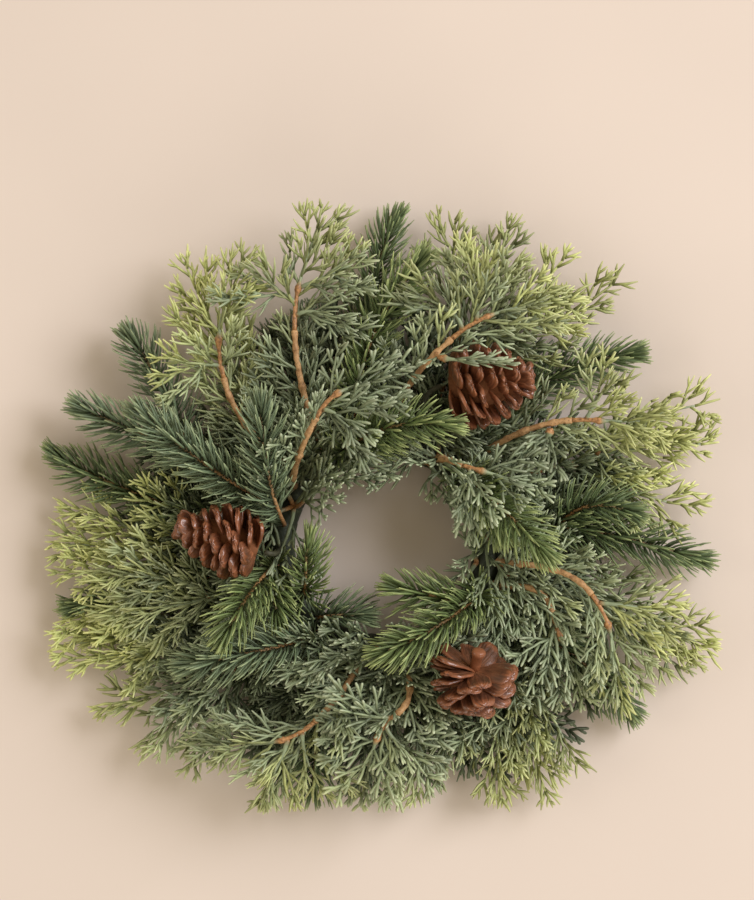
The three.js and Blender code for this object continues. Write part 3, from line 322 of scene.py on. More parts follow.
# A root that is one number is the twig that the branch grows on from, at its end or, with a place and
# a direction, on its side. Wide ones have long sprigs, step is the distance between sprigs, some
# branches are brighter, with light painted on them, and lime is how lime it gets, from a distance from
# the centre on. A side fan has its place along the stem and its tip, and covers are more roots where
# short sprays cover the ring.
CEDARS = [
    way(1, (-38, 120, 38), (-26, 156, 24), "cedar", width=14, lime=0.85, lime_from=112,
        fans=[(0.14, (-14, 100, 41)), (0.26, (-58, 120, 33)), (0.4, (-11, 128, 37))]),
    way(2, (-18, 72, 58), (13, 77, 49), "cedar", width=10, fans=[(0.12, (-12, 53, 56))]),
    way(3, (56, 107, 52), (86, 112, 40), "cedar_lime", width=13, lime_from=98,
        fans=[(0.12, (12, 114, 45)), (0.28, (37, 134, 43))]),
    way(3, (36, 84, 65), (54, 81, 61), "cedar", side=(0.86, (0.3, 0.1, 1)), width=12),
    way(4, (108, 54, 40), (128, 59, 35), "cedar_lime", width=9, lime_from=80, fans=[(0.2, (98, 78, 42))]),
    way(4, (66, 44, 36), (78, 37, 36), "cedar", side=(0.82, (0.3, -1, 0.2)), width=8),
    way(5, (52, 33, 48), (70, 25, 45), "cedar", width=8, pale=0.15, fans=[(0.15, (38, 10, 43))],
        covers=[(62, 128)]),
    way(6, (103, -46, 35), (107, -71, 24), "cedar_lime", width=10, lime_from=92, pale=0.3,
        fans=[(0.12, (133, -30, 31))], covers=[(-10, 128), (5, 96)]),
    way(7, (86, -50, 26), (88, -70, 20), "cedar", width=12, pale=0.3, fans=[(0.25, (68, -66, 28))]),
    way(8, (-4, -92, 38), (-12, -117, 23), "cedar", width=12,
        fans=[(0.1, (-21, -76, 41)), (0.2, (23, -96, 33))]),
    way(9, (-58, -90, 36), (-86, -86, 25), "cedar_lime", width=11,
        fans=[(0.16, (-30, -107, 27)), (0.32, (-58, -116, 24))]),
    way(10, (-76, 104, 36), (-61, 130, 28), "cedar_lime", width=11, lime_from=80, pale=0.15,
        fans=[(0.12, (-95, 78, 33))]),
    way((268, 96), (-14, -44, 40), (-48, -58, 34), "cedar", width=10),
    way((156, 112), (-34, 36, 44), (3, 31, 40), "cedar", width=7),
    way((134, 18), (-82, 98, 17), (-89, 130, 17), "cedar_lime", width=12, lime_from=80, pale=0.15),
    way((70, 12), (46, 112, 13), (58, 146, 12), "cedar_lime", width=9, lime_from=101,
        fans=[(0.4, (106, 119, 15)), (0.5, (34, 150, 12)), (0.56, (84, 132, 13))]),
    way((27, 12), (120, 48, 14), (158, 46, 13), "cedar_lime", width=9, lime_from=88,
        fans=[(0.4, (142, 17, 15)), (0.52, (155, 66, 14))]),
    way((-14, 8), (118, -22, 11), (153, -53, 11), "cedar_lime", width=10, lime_from=96,
        fans=[(0.5, (141, -52, 13))]),
    way((-38, 10), (64, -76, 13), (73, -114, 12), "cedar_lime", width=9, lime=0.95, lime_from=76,
        fans=[(0.3, (60, -68, 33)), (0.4, (53, -117, 13)), (0.5, (87, -100, 15))]),
    way((-62, 12), (34, -78, 13), (25, -98, 14), "cedar_lime", width=8, lime_from=84,
        fans=[(0.6, (14, -114, 12))]),
    way((180, 10), (-120, 0, 11), (-157, 1, 11), "cedar_lime", width=9, lime_from=72, pale=0.25, step=6.6,
        fans=[(0.3, (-108, 29, 27)), (0.5, (-151, -11, 12)), (0.6, (-146, 19, 11))]),
    way((197, 35), (-98, -30, 27), (-130, -29, 23), "cedar", width=9, lime=0.85, pale=0.25,
        fans=[(0.45, (-134, -12, 22))]),
    way((205, 8), (-125, -42, 10), (-157, -47, 10), "cedar_lime", width=10, lime_from=76, pale=0.2,
        step=6.6, fans=[(0.5, (-152, -35, 11)), (0.45, (-144, -50, 11))]),
    way((222, 12), (-96, -66, 14), (-129, -74, 12), "cedar_lime", width=9, lime_from=106, step=6,
        fans=[(0.4, (-88, -100, 13)), (0.5, (-122, -53, 13)), (0.56, (-110, -89, 13))]),
    way((273, 50), (3, -58, 30), (-4, -74, 31), "cedar", width=8),
]

for kind, rows in (("twig", TWIGS), ("pine", PINES), ("cedar", CEDARS)):
    for number, row in enumerate(rows, 1):
        row["name"] = f"{kind}_{number:02d}"

# The two ends of each cone, where its wire leaves the ring, and the shades that its scales are drawn
# from, with 0 the darkest and 1 the lightest. The ranges also paint light and shade on whole cones,
# darkest on the one with a stub and lightest on the upper right one. The one with a stub shows its stalk
# end.
CONES = [
    dict(name="cone_left", root=(181, 88), stalk=Vector((-53.5, -2, 39)), free=Vector((-90, 9.5, 40)),
         radius=16.5, painted_shades=(0.45, 0.95), stub=False),
    dict(name="cone_upper_right", root=(73, 62), stalk=Vector((26, 72, 38)), free=Vector((64, 75, 40)),
         radius=19.5, painted_shades=(0.65, 1), stub=False),
    dict(name="cone_lower_right", root=(-41, 80), stalk=Vector((40.5, -53, 46)), free=Vector((37, -68, 38)),
         radius=19, painted_shades=(0, 0.25), stub=True),
]


# Numbers and directions

def mix(a, b, share):
    return a + (b - a) * share


def clamp(x, low=0.0, high=1.0):
    return max(low, min(high, x))


def smooth(low, high, x):
    """0 below low, 1 above high, and eased between them."""
    t = clamp((x - low) / (high - low))
    return t * t * (3 - 2 * t)


def unit(v):
    return v / np.linalg.norm(v, axis=-1, keepdims=True)


def level(turn):
    """The level direction at an angle round the ring."""
    return Vector((math.cos(turn), math.sin(turn), 0))


def lean_to(along, out, angle):
    """The direction that leans from one towards another by an angle."""
    return along * math.cos(angle) + out * math.sin(angle)


def square_to(along, v):
    """The direction square to along that is nearest to v."""
    return (v - along * v.dot(along)).normalized()


# Curves

def bezier(controls, t):
    """Points at the parameters t on the Bezier curve with these control points."""
    t = np.asarray(t, float)[:, None]
    rows = [np.asarray(point, float) for point in controls]
    while len(rows) > 1:
        rows = [a + (b - a) * t for a, b in zip(rows, rows[1:])]
    return rows[0]


def on_arc(start, middle, end, t):
    """The point at t on the curve that leaves start towards middle and comes into end from there."""
    return start * (1 - t) ** 2 + middle * 2 * t * (1 - t) + end * t ** 2


def bent(root, first, last, length, share=1):
    """The middle and the end of a line that sets out one way and goes on another, at a share of a length."""
    middle = root + first * length * share * 0.5
    return middle, middle + last * length * share * 0.5


class Stem:
    """A curve at even steps, with the directions along it, up and to its left at each step."""

    def __init__(self, start, out, bend, tip, up=UP, trim=0):
        start, tip = Vector(start), Vector(tip)
        lead = start + Vector(out) * LEAD_SHARE * (tip - start).length
        fine = bezier([start, lead, bend, tip], np.linspace(0, 1, STEM_SAMPLES))
        run = np.concatenate([[0], np.cumsum(np.linalg.norm(np.diff(fine, axis=0), axis=1))])
        self.length = float(run[-1]) - trim
        even = np.linspace(0, self.length, max(6, round(self.length / STEM_STEP)) + 1)
        points = np.stack([np.interp(even, run, fine[:, i]) for i in range(3)], axis=1)
        self.points = [Vector(p) for p in points]
        self.alongs = [Vector(a) for a in unit(np.gradient(points, axis=0))]
        self.ups = []
        for along in self.alongs:
            up = square_to(along, up)
            self.ups.append(up)
        self.lefts = [u.cross(a) for u, a in zip(self.ups, self.alongs)]

    def at(self, share):
        """The point and the directions along, up and left at a share of the length."""
        place = clamp(share) * (len(self.points) - 1)
        i = min(int(place), len(self.points) - 2)
        lists = (self.points, self.alongs, self.ups, self.lefts)
        return [row[i].lerp(row[i + 1], place - i) for row in lists]


def seat_on_ring(root):
    """Where a stem leaves the ring, and the direction square to the ring there."""
    turn, rise = (math.radians(angle) for angle in root)
    out = lean_to(level(turn), UP, rise)
    return level(turn) * RING_RADIUS + UP * TUBE_HEIGHT + out * (TUBE_RADIUS + SEAT_GAP), out


def seat_on_twig(stem, side):
    """Where a branch leaves a twig: at its end, or on its side."""
    if not side:
        point, along, _, _ = stem.at(1)
        return point + along * SEAT_GAP, along
    share, towards = side
    point, along, _, _ = stem.at(share)
    out = square_to(along, Vector(towards))
    return point + out * (SEAT_TWIG_RADIUS + SEAT_GAP), out


# What foliage keeps clear of

def reach_at(point):
    """How far out foliage may go in the direction of a point."""
    turn = math.degrees(math.atan2(point.y, point.x)) % 360
    reach = BEYOND_ALL
    for direction, depth in NOTCHES:
        off = abs((turn - direction + 180) % 360 - 180)
        reach = min(reach, depth + NOTCH_DEPTH * smooth(NOTCH_FLOOR * NOTCH_WIDTH, NOTCH_WIDTH, off))
    return reach


def from_axis(point, cone):
    """How far a point is from a cone's axis, and the share along the axis nearest to it."""
    axis = cone["free"] - cone["stalk"]
    share = clamp((point - cone["stalk"]).dot(axis) / axis.length_squared)
    return (point - cone["stalk"] - axis * share).length, share


def cone_reach(cone, share):
    """How far a cone's scales reach from its axis: widest near the stalk end, narrow at the free end."""
    belly = CONE_NECK + CONE_SWELL * math.sin(math.pi * min(1, CONE_BELLY + share))
    return cone["radius"] * belly * (1 - CONE_TAPER * share ** 4)


def is_clear(point):
    """True where a point of the foliage is over the surface and out of the ring, the hole and the cones."""
    if point.z < LOWEST:
        return False
    from_tube = math.hypot(math.hypot(point.x, point.y) - RING_RADIUS, point.z - TUBE_HEIGHT)
    if from_tube < TUBE_RADIUS + RING_GAP:
        return False
    for low, high in (HOLE, BARE_RING):
        if low.x < point.x < high.x and low.y < point.y < high.y:
            return False
    if not all(low < value < high for low, value, high in zip(BOX_LOW, point, BOX_HIGH)):
        return False
    for cone in CONES:
        gap, share = from_axis(point, cone)
        if gap < CONE_CORE * cone_reach(cone, share):
            return False
    return True


# Meshes

def add_object(name, data):
    made = bpy.data.objects.new(name, data)
    bpy.context.scene.collection.objects.link(made)
    return made


class Piece:
    """Gathers the points, faces and tones of one mesh.

    A tone holds four shares: along a rod or scale, a shade drawn for it, how lime it is or how near a
    scale's rim, and how much of it is bark or the place across a scale.
    """

    def __init__(self):
        self.points = []
        self.tones = []
        self.faces = []
        self.count = 0

    def add(self, points, tones, *faces):
        self.points.append(points)
        self.tones.append(np.asarray(tones, float))
        self.faces += [some + self.count for some in faces]
        self.count += len(points)

    def make(self, name, node, slot):
        """Makes the mesh object that stands for a CAD node."""
        points = np.concatenate(self.points) * MM + np.array(RING_CENTRE)
        points = np.clip(points, np.array(cad_low), np.array(cad_high))
        totals = np.concatenate([np.full(len(some), some.shape[1]) for some in self.faces])
        mesh = bpy.data.meshes.new(name)
        mesh.vertices.add(len(points))
        mesh.vertices.foreach_set("co", points.ravel())
        mesh.loops.add(int(totals.sum()))
        mesh.loops.foreach_set("vertex_index", np.concatenate([some.ravel() for some in self.faces]))
        mesh.polygons.add(len(totals))
        mesh.polygons.foreach_set("loop_start", np.concatenate([[0], np.cumsum(totals)[:-1]]))
        mesh.update(calc_edges=True)
        mesh.shade_smooth()
        tone = mesh.color_attributes.new(name="tone", type="FLOAT_COLOR", domain="POINT")
        tone.data.foreach_set("color", np.concatenate(self.tones).ravel())
        mesh.materials.append(MATERIALS[slot])
        made = add_object(name, mesh)
        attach(made, "root")
        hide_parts(node)


def angles(sides):
    return 2 * math.pi * np.arange(sides) / sides


def ring_faces(rows, sides):
    """The quads between rows of points, each row going round once."""
    k, i = np.meshgrid(np.arange(rows - 1), np.arange(sides), indexing="ij")
    j = (i + 1) % sides
    quads = np.stack([k * sides + i, k * sides + j, (k + 1) * sides + j, (k + 1) * sides + i], axis=-1)
    return quads.reshape(-1, 4)


def tip_faces(tip, first, sides):
    """The triangles between a tip and the row of points that starts at first."""
    i = np.arange(sides)
    return np.stack([np.full(sides, tip), first + i, first + (i + 1) % sides], axis=1)


def root_faces(sides):
    """The triangles across the first row of points."""
    i = np.arange(sides)
    return np.stack([np.zeros(sides - 2, int), i[2:], i[1:-1]], axis=1)


def add_tube(piece, points, ups, alongs, radii, sides, tones):
    """A closed tube through points, each with its own radius, or its own row of radii round it."""
    points, ups, alongs, radii, tones = (np.array(a, float) for a in (points, ups, alongs, radii, tones))
    radii = radii[:, None] * np.ones(sides) if radii.ndim == 1 else radii
    turn = angles(sides)[None, :, None]
    across = np.cos(turn) * np.cross(ups, alongs)[:, None] + np.sin(turn) * ups[:, None]
    skin = (points[:, None] + radii[..., None] * across).reshape(-1, 3)
    ends = [points[0], points[-1] + alongs[-1] * TUBE_DOME * radii[-1].mean()]
    rows = len(points)
    piece.add(
        np.concatenate([skin, ends]),
        np.concatenate([np.repeat(tones, sides, axis=0), tones[:1], tones[-1:]]),
        ring_faces(rows, sides),
        tip_faces(rows * sides, 0, sides)[:, [0, 2, 1]],
        tip_faces(rows * sides + 1, (rows - 1) * sides, sides),
    )


def add_stem(piece, stem, radii, tones, sides=8):
    add_tube(piece, stem.points, stem.ups, stem.alongs, radii, sides, tones)


class Rods:
    """Bent rods with a flattened section: needles, sprigs or prongs."""

    def __init__(self, sides, flatness, profile):
        self.sides = sides
        self.flatness = flatness
        self.profile = np.array(profile, float)
        self.rows = []

    def add(self, start, middle, end, wide, width, shade, lime, from_tone=0.0, to_tone=1.0):
        self.rows.append((*start, *middle, *end, *wide, width, shade, lime, from_tone, to_tone))

    def put_in(self, piece):
        """Makes the points and faces of all the rods at once."""
        rows = np.array(self.rows, float)
        start, middle, end, wide = (rows[:, None, 3 * i:3 * i + 3] for i in range(4))
        width, shade, lime, from_tone, to_tone = rows[:, 12:].T
        shares, scales = self.profile.T
        t = shares[None, :, None]
        centres = on_arc(start, middle, end, t)
        alongs = unit((middle - start) * (1 - t) + (end - middle) * t)
        across = unit(wide - alongs * (wide * alongs).sum(-1, keepdims=True))
        over = np.cross(alongs, across)
        turn = angles(self.sides)[:, None]
        section = np.cos(turn) * across[:, :, None] + self.flatness * np.sin(turn) * over[:, :, None]
        skin = centres[:, :, None] + (width[:, None] * scales)[..., None, None] * section
        tips = centres[:, -1] + alongs[:, -1] * (ROD_DOME * width * scales[-1])[:, None]
        count, steps, sides = len(rows), len(shares), self.sides
        each = steps * sides + 1
        along = from_tone[:, None] + (to_tone - from_tone)[:, None] * np.append(np.repeat(shares, sides), 1)
        flat_tones = [np.repeat(value[:, None], each, axis=1) for value in (shade, lime, 0 * lime)]
        first = (np.arange(count) * each)[:, None, None]
        piece.add(
            np.concatenate([skin.reshape(count, -1, 3), tips[:, None]], axis=1).reshape(-1, 3),
            np.stack([along, *flat_tones], axis=-1).reshape(-1, 4),
            (first + ring_faces(steps, sides)).reshape(-1, 4),
            (first + tip_faces(each - 1, (steps - 1) * sides, sides)).reshape(-1, 3),
            (first + root_faces(sides)).reshape(-1, 3),
        )


# Pine sprays

def add_needle(rods, stem, share, turn, draws, bright):
    """A needle at a share of the stem, shortened or left out where it would run into something."""
    point, along, up, left = stem.at(share)
    out = lean_to(left, up, turn)
    near_end = max(0, (share - NEEDLE_END_FROM) / NEEDLE_END_SPAN)
    lean = mix(NEEDLE_LEAN, NEEDLE_END_LEAN, near_end) + draws.uniform(*NEEDLE_STRAY)
    sway = along.cross(out) * draws.uniform(*NEEDLE_SWAY)
    first, last = ((lean_to(along, out, lean + curl) + sway).normalized() for curl in NEEDLE_CURL)
    length = NEEDLE_LENGTH * draws.uniform(*NEEDLE_LENGTHS) * (1 - 0.3 * near_end)
    shade = draws.random()
    width = NEEDLE_WIDTH * draws.uniform(*NEEDLE_WIDTHS)
    for shorter in NEEDLE_TRIES:
        middle, end = bent(point, first, last, length, shorter)
        if is_clear(end) and is_clear(middle):
            rods.add(point, middle, end, along.cross(out), width, shade, bright)
            return


def grow_pine(piece, rods, stem, draws, bright):
    """A wiry stem with needles all round it and a brush of them at its end."""
    shares = np.linspace(0, 1, len(stem.points))
    radii = [
        mix(PINE_RADIUS, PINE_END_RADIUS, s) * (1 + 0.12 * noise.noise(p / 1.7))
        for s, p in zip(shares, stem.points)
    ]
    tones = [(0.3, 0.5, 0, clamp(1.15 - 0.8 * s)) for s in shares]
    add_stem(piece, stem, radii, tones)
    count = int(stem.length * (1 - PINE_BARE) * NEEDLES_PER_MM)
    for i in range(count):
        share = mix(PINE_BARE, 1, (i + draws.random()) / count)
        turn = i * GOLDEN_ANGLE + draws.uniform(*NEEDLE_TURN)
        add_needle(rods, stem, share, turn, draws, bright)
    tip, along, up, left = stem.at(1)
    root = tip - along * TUFT_SINK
    for i in range(TUFT_COUNT):
        lean = TUFT_LEAN * math.sqrt((i + 0.5) / TUFT_COUNT) + draws.uniform(*TUFT_STRAY)
        out = lean_to(left, up, i * GOLDEN_ANGLE)
        heading = lean_to(along, out, lean)
        middle = tip + heading * TUFT_LENGTH * 0.5
        end = tip + (heading + along * 0.06).normalized() * TUFT_LENGTH * draws.uniform(*TUFT_LENGTHS)
        if is_clear(end):
            rods.add(root, middle, end, along.cross(out), NEEDLE_WIDTH, draws.random(), bright)


def make_pine(row, seed):
    """A pine spray with its forks."""
    draws = random.Random(seed)
    piece = Piece()
    rods = Rods(*NEEDLE_SECTION, NEEDLE_PROFILE)
    bright = LIMENESS[row["hue"]]
    stem = Stem(*seat_on_ring(row["root"]), row["bend"], row["tip"], trim=PINE_TRIM)
    grow_pine(piece, rods, stem, draws, bright)
    for share, bend, tip in row.get("forks", ()):
        point, along, _, _ = stem.at(share)
        out = square_to(along, Vector(tip) - point) + along * FORK_LEAN
        fork = Stem(point, out.normalized(), bend, tip, trim=PINE_TRIM)
        grow_pine(piece, rods, fork, draws, bright)
    rods.put_in(piece)
    piece.make(row["name"] + "_spray", row["name"], row["hue"])


# Cedar branches

class Foliage:
    """The sprigs and prongs of one branch.

    They keep to the outline, but for the last ones of each plume. The prongs of each sprig stop a drawn
    distance short of it or beyond it, so that no edge comes out straight.
    """

    def __init__(self, row, seed):
        self.lime = row.get("lime", LIMENESS[row["hue"]])
        self.lime_from = row.get("lime_from", LIME_FROM)
        self.width = row["width"]
        self.pale = row.get("pale", 0)
        self.kind = SLENDER if self.lime > 0.5 else BLUNT
        self.sprigs = Rods(*SPRIG_SECTION, SPRIG_PROFILE)
        self.prongs = Rods(*PRONG_SECTION, self.kind["profile"])
        self.draws = random.Random(seed)
        self.reach = self.ragged = 0
        self.fan_shade = self.fan_shift = 0
        self.shade = self.shift = 0
        self.deep = self.at_end = False

    def has_room(self, *points):
        """True where all the points are clear, and inside the outline unless they end a plume."""
        edge = max(0, -self.ragged)
        wide, tall = BOX_HIGH.x - edge, BOX_HIGH.y - edge
        if not all(is_clear(p) and abs(p.x) < wide and abs(p.y) < tall for p in points):
            return False
        return self.at_end or all(
            math.hypot(p.x, p.y) < min(self.reach, reach_at(p)) + self.ragged for p in points
        )

    def lime_at(self, point):
        """The outer tips are lime, and the inner foliage is sage."""
        if self.deep:
            return 0
        start = self.lime_from + self.shift
        return self.lime * smooth(start, start + LIME_SPAN, math.hypot(point.x, point.y))

    def end_tone(self):
        """Foliage deep in the wreath keeps the dark tone of the roots, as painted shade."""
        return PAINTED_SHADE_TONE if self.deep else 1

    def sprig(self, root, along, sideways, up, length):
        """A slim curved sprig with forked prongs on both sides."""
        lean = SPRIG_LEAN + self.draws.uniform(*LEAN_STRAY)
        first, last = (lean_to(along, sideways, lean + curl).normalized() for curl in SPRIG_CURL)
        for shorter in SPRIG_TRIES:
            middle, end = bent(root, first, last, length, shorter)
            if self.has_room(middle, end):
                break
        else:
            return
        flat = first.cross(up).normalized()
        normal = flat.cross(first)
        # the branch's share of painted light brightens all of its sprigs
        self.shade = clamp(self.draws.random() + self.fan_shade + self.pale)
        self.shift = self.fan_shift + self.draws.uniform(*SPRIG_SHIFT)
        self.ragged = self.draws.uniform(-RAGGED_IN, RAGGED_OUT)
        to_tone = min(0.85, self.end_tone())
        self.sprigs.add(root, middle, end, flat, SPRIG_WIDTH, self.shade, self.lime_at(end), 0.1, to_tone)
        count = max(2, round(length * shorter / PRONG_STEP))
        side = self.draws.choice((-1, 1))
        for i in range(count + 1):
            side = -side
            share = min(1, (i + 0.7) / (count + 0.2))
            at = on_arc(root, middle, end, share)
            heading = (first * (1 - share) + last * share).normalized()
            across = heading.cross(normal) * side
            self.prong(at, heading, across, normal, share)
            if share > 0.9:
                self.prong(at, heading, -across, normal, share)

    def prong(self, root, along, sideways, up, share):
        """A prong that sweeps forward and may carry one or two shorter ones."""
        lean = self.kind["lean"] + self.draws.uniform(*LEAN_STRAY)
        lift = self.draws.uniform(*PRONG_LIFT)
        length = self.kind["length"] * self.draws.uniform(*PRONG_LENGTHS) * (1 - 0.28 * share)
        headings = (lean_to(along, sideways, lean + curl) for curl in PRONG_CURL)
        first, last = ((heading + up * lift).normalized() for heading in headings)
        for shorter in PRONG_TRIES:
            middle, end = bent(root, first, last, length, shorter)
            if self.has_room(end):
                break
        else:
            return
        length *= shorter
        shade = clamp(self.shade + self.draws.uniform(*PRONG_SHADE))
        flat = first.cross(up).normalized()
        width = self.kind["width"] * self.draws.uniform(*PRONG_WIDTHS)
        tone = self.end_tone()
        self.prongs.add(root, middle, end, flat, width, shade, self.lime_at(end), 0, tone)
        side = self.draws.choice((-1, 1))
        for place, chance in self.kind["forks"]:
            if length * (1 - place) < PRONG_FORK_ROOM or self.draws.random() > chance:
                continue
            side = -side
            at = on_arc(root, middle, end, place)
            onward = (lean_to(last, flat, side * PRONG_FORK_LEAN) + up * 0.3 * lift).normalized()
            reach = length * (1 - place) * PRONG_FORK_SHARE + 0.5
            bend, tip = bent(at, onward, (onward * 2 + last).normalized(), reach)
            if self.has_room(tip):
                lime = self.lime_at(tip)
                self.prongs.add(at, bend, tip, flat, 0.92 * width, shade, lime, 0.35 * tone, tone)

    def fan(self, stem, bare, falls=False, step=SPRIG_STEP):
        """Sprigs along a stem, on alternate sides, rolled out of one plane, or hanging from it."""
        self.reach = OVER_TIP + max(math.hypot(p.x, p.y) for p in stem.points) + CEDAR_TRIM
        self.fan_shade = self.draws.uniform(*FAN_SHADE)
        self.fan_shift = self.draws.uniform(*FAN_SHIFT)
        count = max(3, int(stem.length * (1 - bare) / step))
        side = 1
        for i in range(count):
            side = -side
            leafy = (i + 0.6) / count
            point, along, up, left = stem.at(mix(bare, 1, leafy))
            profile = min(1, 0.7 + 1.6 * leafy) * (1 - 0.66 * leafy ** 1.4)
            length = (self.width * SPRIG_GAIN + SPRIG_BASE) * profile * self.draws.uniform(*SPRIG_LENGTHS)
            roll = self.draws.uniform(*(HANGING_ROLL if falls else SPRIG_ROLL))
            self.at_end = not falls and leafy > PLUME_END
            self.sprig(point, along, lean_to(left * side, up, roll), up, length)
        self.at_end = not falls
        if not falls:
            point, along, up, left = stem.at(1)
            self.sprig(point, along, along * 2 + left * 0.3, up, END_SPRIG)
        self.at_end = False

    def crest(self, stem, bare):
        """Short sprigs that lie forward over a green stem and hide it."""
        count = int(stem.length * (1 - bare) / CREST_STEP)
        side = 1
        for i in range(count):
            side = -side
            point, along, up, left = stem.at(mix(bare, 1, (i + 0.3) / count))
            sideways = (up + left * side * self.draws.uniform(0.3, 0.9)).normalized()
            length = (self.width * 0.6 + 6) * self.draws.uniform(0.8, 1.1)
            self.sprig(point, along, sideways * 0.55 + along * 0.4, sideways.cross(along) * side, length)


def cover_ring(piece, foliage, root):
    """Short sprays from the foot of a stem, which lie along the ring and hide it."""
    start, out = seat_on_ring(root)
    turn = math.radians(root[0])
    for side in (-1, 1):
        along_ring = Vector((-math.sin(turn), math.cos(turn), 0)) * side
        heading = (along_ring + out * 0.35 + UP * 0.25).normalized()
        tip = start + heading * COVER_LENGTH * foliage.draws.uniform(*COVER_LENGTHS)
        bend = start + heading * COVER_LENGTH * 0.5 + out * 4
        if is_clear(tip):
            spray = Stem(start, (out + along_ring).normalized(), bend, tip)
            add_cedar_stem(piece, spray, 0.1)
            foliage.fan(spray, 0.05)


def fill_below(piece, foliage, root):
    """Sprays from the foot of a stem, painted dark as shade, which fan out near the surface under the other
    foliage.
    """
    start, out = seat_on_ring(root)
    foliage.deep = True
    for side in (-1, 1):
        heading = level(math.radians(root[0]) + side * LOW_TURN * foliage.draws.uniform(*LOW_TURNS))
        tip = heading * LOW_REACH * foliage.draws.uniform(*LOW_REACHES) + UP * LOW_HEIGHT
        bend = start.lerp(tip, 0.5) + UP * 4
        spray = Stem(start, (out + heading).normalized(), bend, tip)
        add_cedar_stem(piece, spray, 0.1)
        foliage.fan(spray, 0.1, step=LOW_SPRIG_STEP)
    foliage.deep = False


def add_cedar_stem(piece, stem, brown, knob=0):
    """A stem that turns from brown to green at a share of its length, with a knob there or none."""
    shares = np.linspace(0, 1, len(stem.points))
    radii, tones = [], []
    for share, point in zip(shares, stem.points):
        swell = knob * math.exp(-((share - brown + 0.05) * stem.length / 1.8) ** 2)
        rough = 1 + (0.15 + 0.2 * swell) * noise.noise(point / 1.6)
        radii.append((mix(CEDAR_RADIUS, CEDAR_END_RADIUS, share) + swell) * rough)
        tones.append((0.25 + 0.6 * share, 0.5, 0, 1 - smooth(brown - 0.04, brown + 0.04, share)))
    add_stem(piece, stem, radii, tones)


def side_fan(stem, share, tip):
    """The stem of a side fan, which leaves the main stem on the side that faces its tip."""
    point, along, up, left = stem.at(share)
    sideways = left if (tip - point).dot(left) > 0 else -left
    out = (sideways + along * SIDE_FAN_LEAN + up * SIDE_FAN_RISE).normalized()
    start = point + sideways * 0.5
    bend = start.lerp(tip, 0.6) + out * SIDE_FAN_ARCH * (tip - start).length
    return Stem(start, out, bend, tip, up, min(CEDAR_TRIM, 0.4 * (tip - start).length))


def make_cedar(row, twigs, seed):
    """A cedar branch with its side fans, and the sprigs beside the twig that carries it."""
    piece = Piece()
    foliage = Foliage(row, seed)
    twig = twigs.get(row["root"])
    start, out = seat_on_twig(twig, row.get("side")) if twig else seat_on_ring(row["root"])
    stem = Stem(start, out, row["bend"], row["tip"], trim=CEDAR_TRIM)
    brown = BROWN_ON_TWIG if twig else BROWN_ON_RING
    step = row.get("step", SPRIG_STEP)
    add_cedar_stem(piece, stem, brown, 1 if twig else 0)
    foliage.fan(stem, CEDAR_BARE, step=step)
    foliage.crest(stem, brown)
    for share, tip in row.get("fans", ()):
        fan = side_fan(stem, share, Vector(tip))
        add_cedar_stem(piece, fan, SIDE_FAN_BARE)
        foliage.fan(fan, SIDE_FAN_BARE, step=step)
        foliage.crest(fan, SIDE_FAN_CREST)
    if not row.get("side"):
        if twig:
            foliage.fan(twig, HANGING_BARE, falls=True)
        root = TWIGS[row["root"] - 1]["root"] if twig else row["root"]
        cover_ring(piece, foliage, root)
        fill_below(piece, foliage, root)
    for place in row.get("covers", ()):
        cover_ring(piece, foliage, place)
    foliage.sprigs.put_in(piece)
    foliage.prongs.put_in(piece)
    piece.make(row["name"] + "_branch", row["name"], row["hue"])


# Twigs, wires and the ring

def make_twig(row, stem, seed):
    """A knobbly twig with a broad cut end, rough all round."""
    draws = random.Random(seed)
    piece = Piece()
    points, alongs, ups, radii, tones = [], [], [], [], []
    for k in range(TWIG_STEPS + 1):
        share = k / TWIG_STEPS
        point, along, up, left = stem.at(share)
        swell = sum(size * math.exp(-((share - at) * stem.length / 1.9) ** 2) for at, size in TWIG_KNOBS)
        radius = mix(TWIG_RADIUS, TWIG_END_RADIUS, share) + swell
        row_radii = []
        for i in range(TWIG_SIDES):
            out = lean_to(left, up, 2 * math.pi * i / TWIG_SIDES)
            coarse = noise.noise(point / 2.6 + out * 0.9)
            fine = noise.noise(point * 0.9 + out * 2.2)
            row_radii.append(radius * (1 + (0.24 * coarse + 0.14 * fine)))
        points.append(point)
        alongs.append(along)
        ups.append(up)
        radii.append(row_radii)
        tones.append((share, draws.random(), 0, 1))
    add_tube(piece, points, ups, alongs, np.minimum(radii, TWIG_MOST_RADIUS), TWIG_SIDES, tones)
    piece.make(row["name"] + "_bark", row["name"], row["hue"])


def make_wire(cone):
    """The wire pick between the ring and a cone, into its stalk end or, under a stub, into its core."""
    piece = Piece()
    start, out = seat_on_ring(cone["root"])
    if cone["stub"]:
        end = cone["stalk"].lerp(cone["free"], WIRE_PLACE)
        heading = UP
    else:
        heading = (cone["free"] - cone["stalk"]).normalized()
        end = cone["stalk"] - heading * SEAT_GAP
    stem = Stem(start, out, end - heading * LEAD_SHARE * (end - start).length, end)
    count = len(stem.points)
    radii = [WIRE_RADIUS * (1 + 0.06 * math.sin(2.4 * k)) for k in range(count)]
    add_stem(piece, stem, radii, [WIRE_TONE] * count, WIRE_SIDES)
    piece.make(cone["name"] + "_wire_pick", cone["name"] + "_wire", "wire")


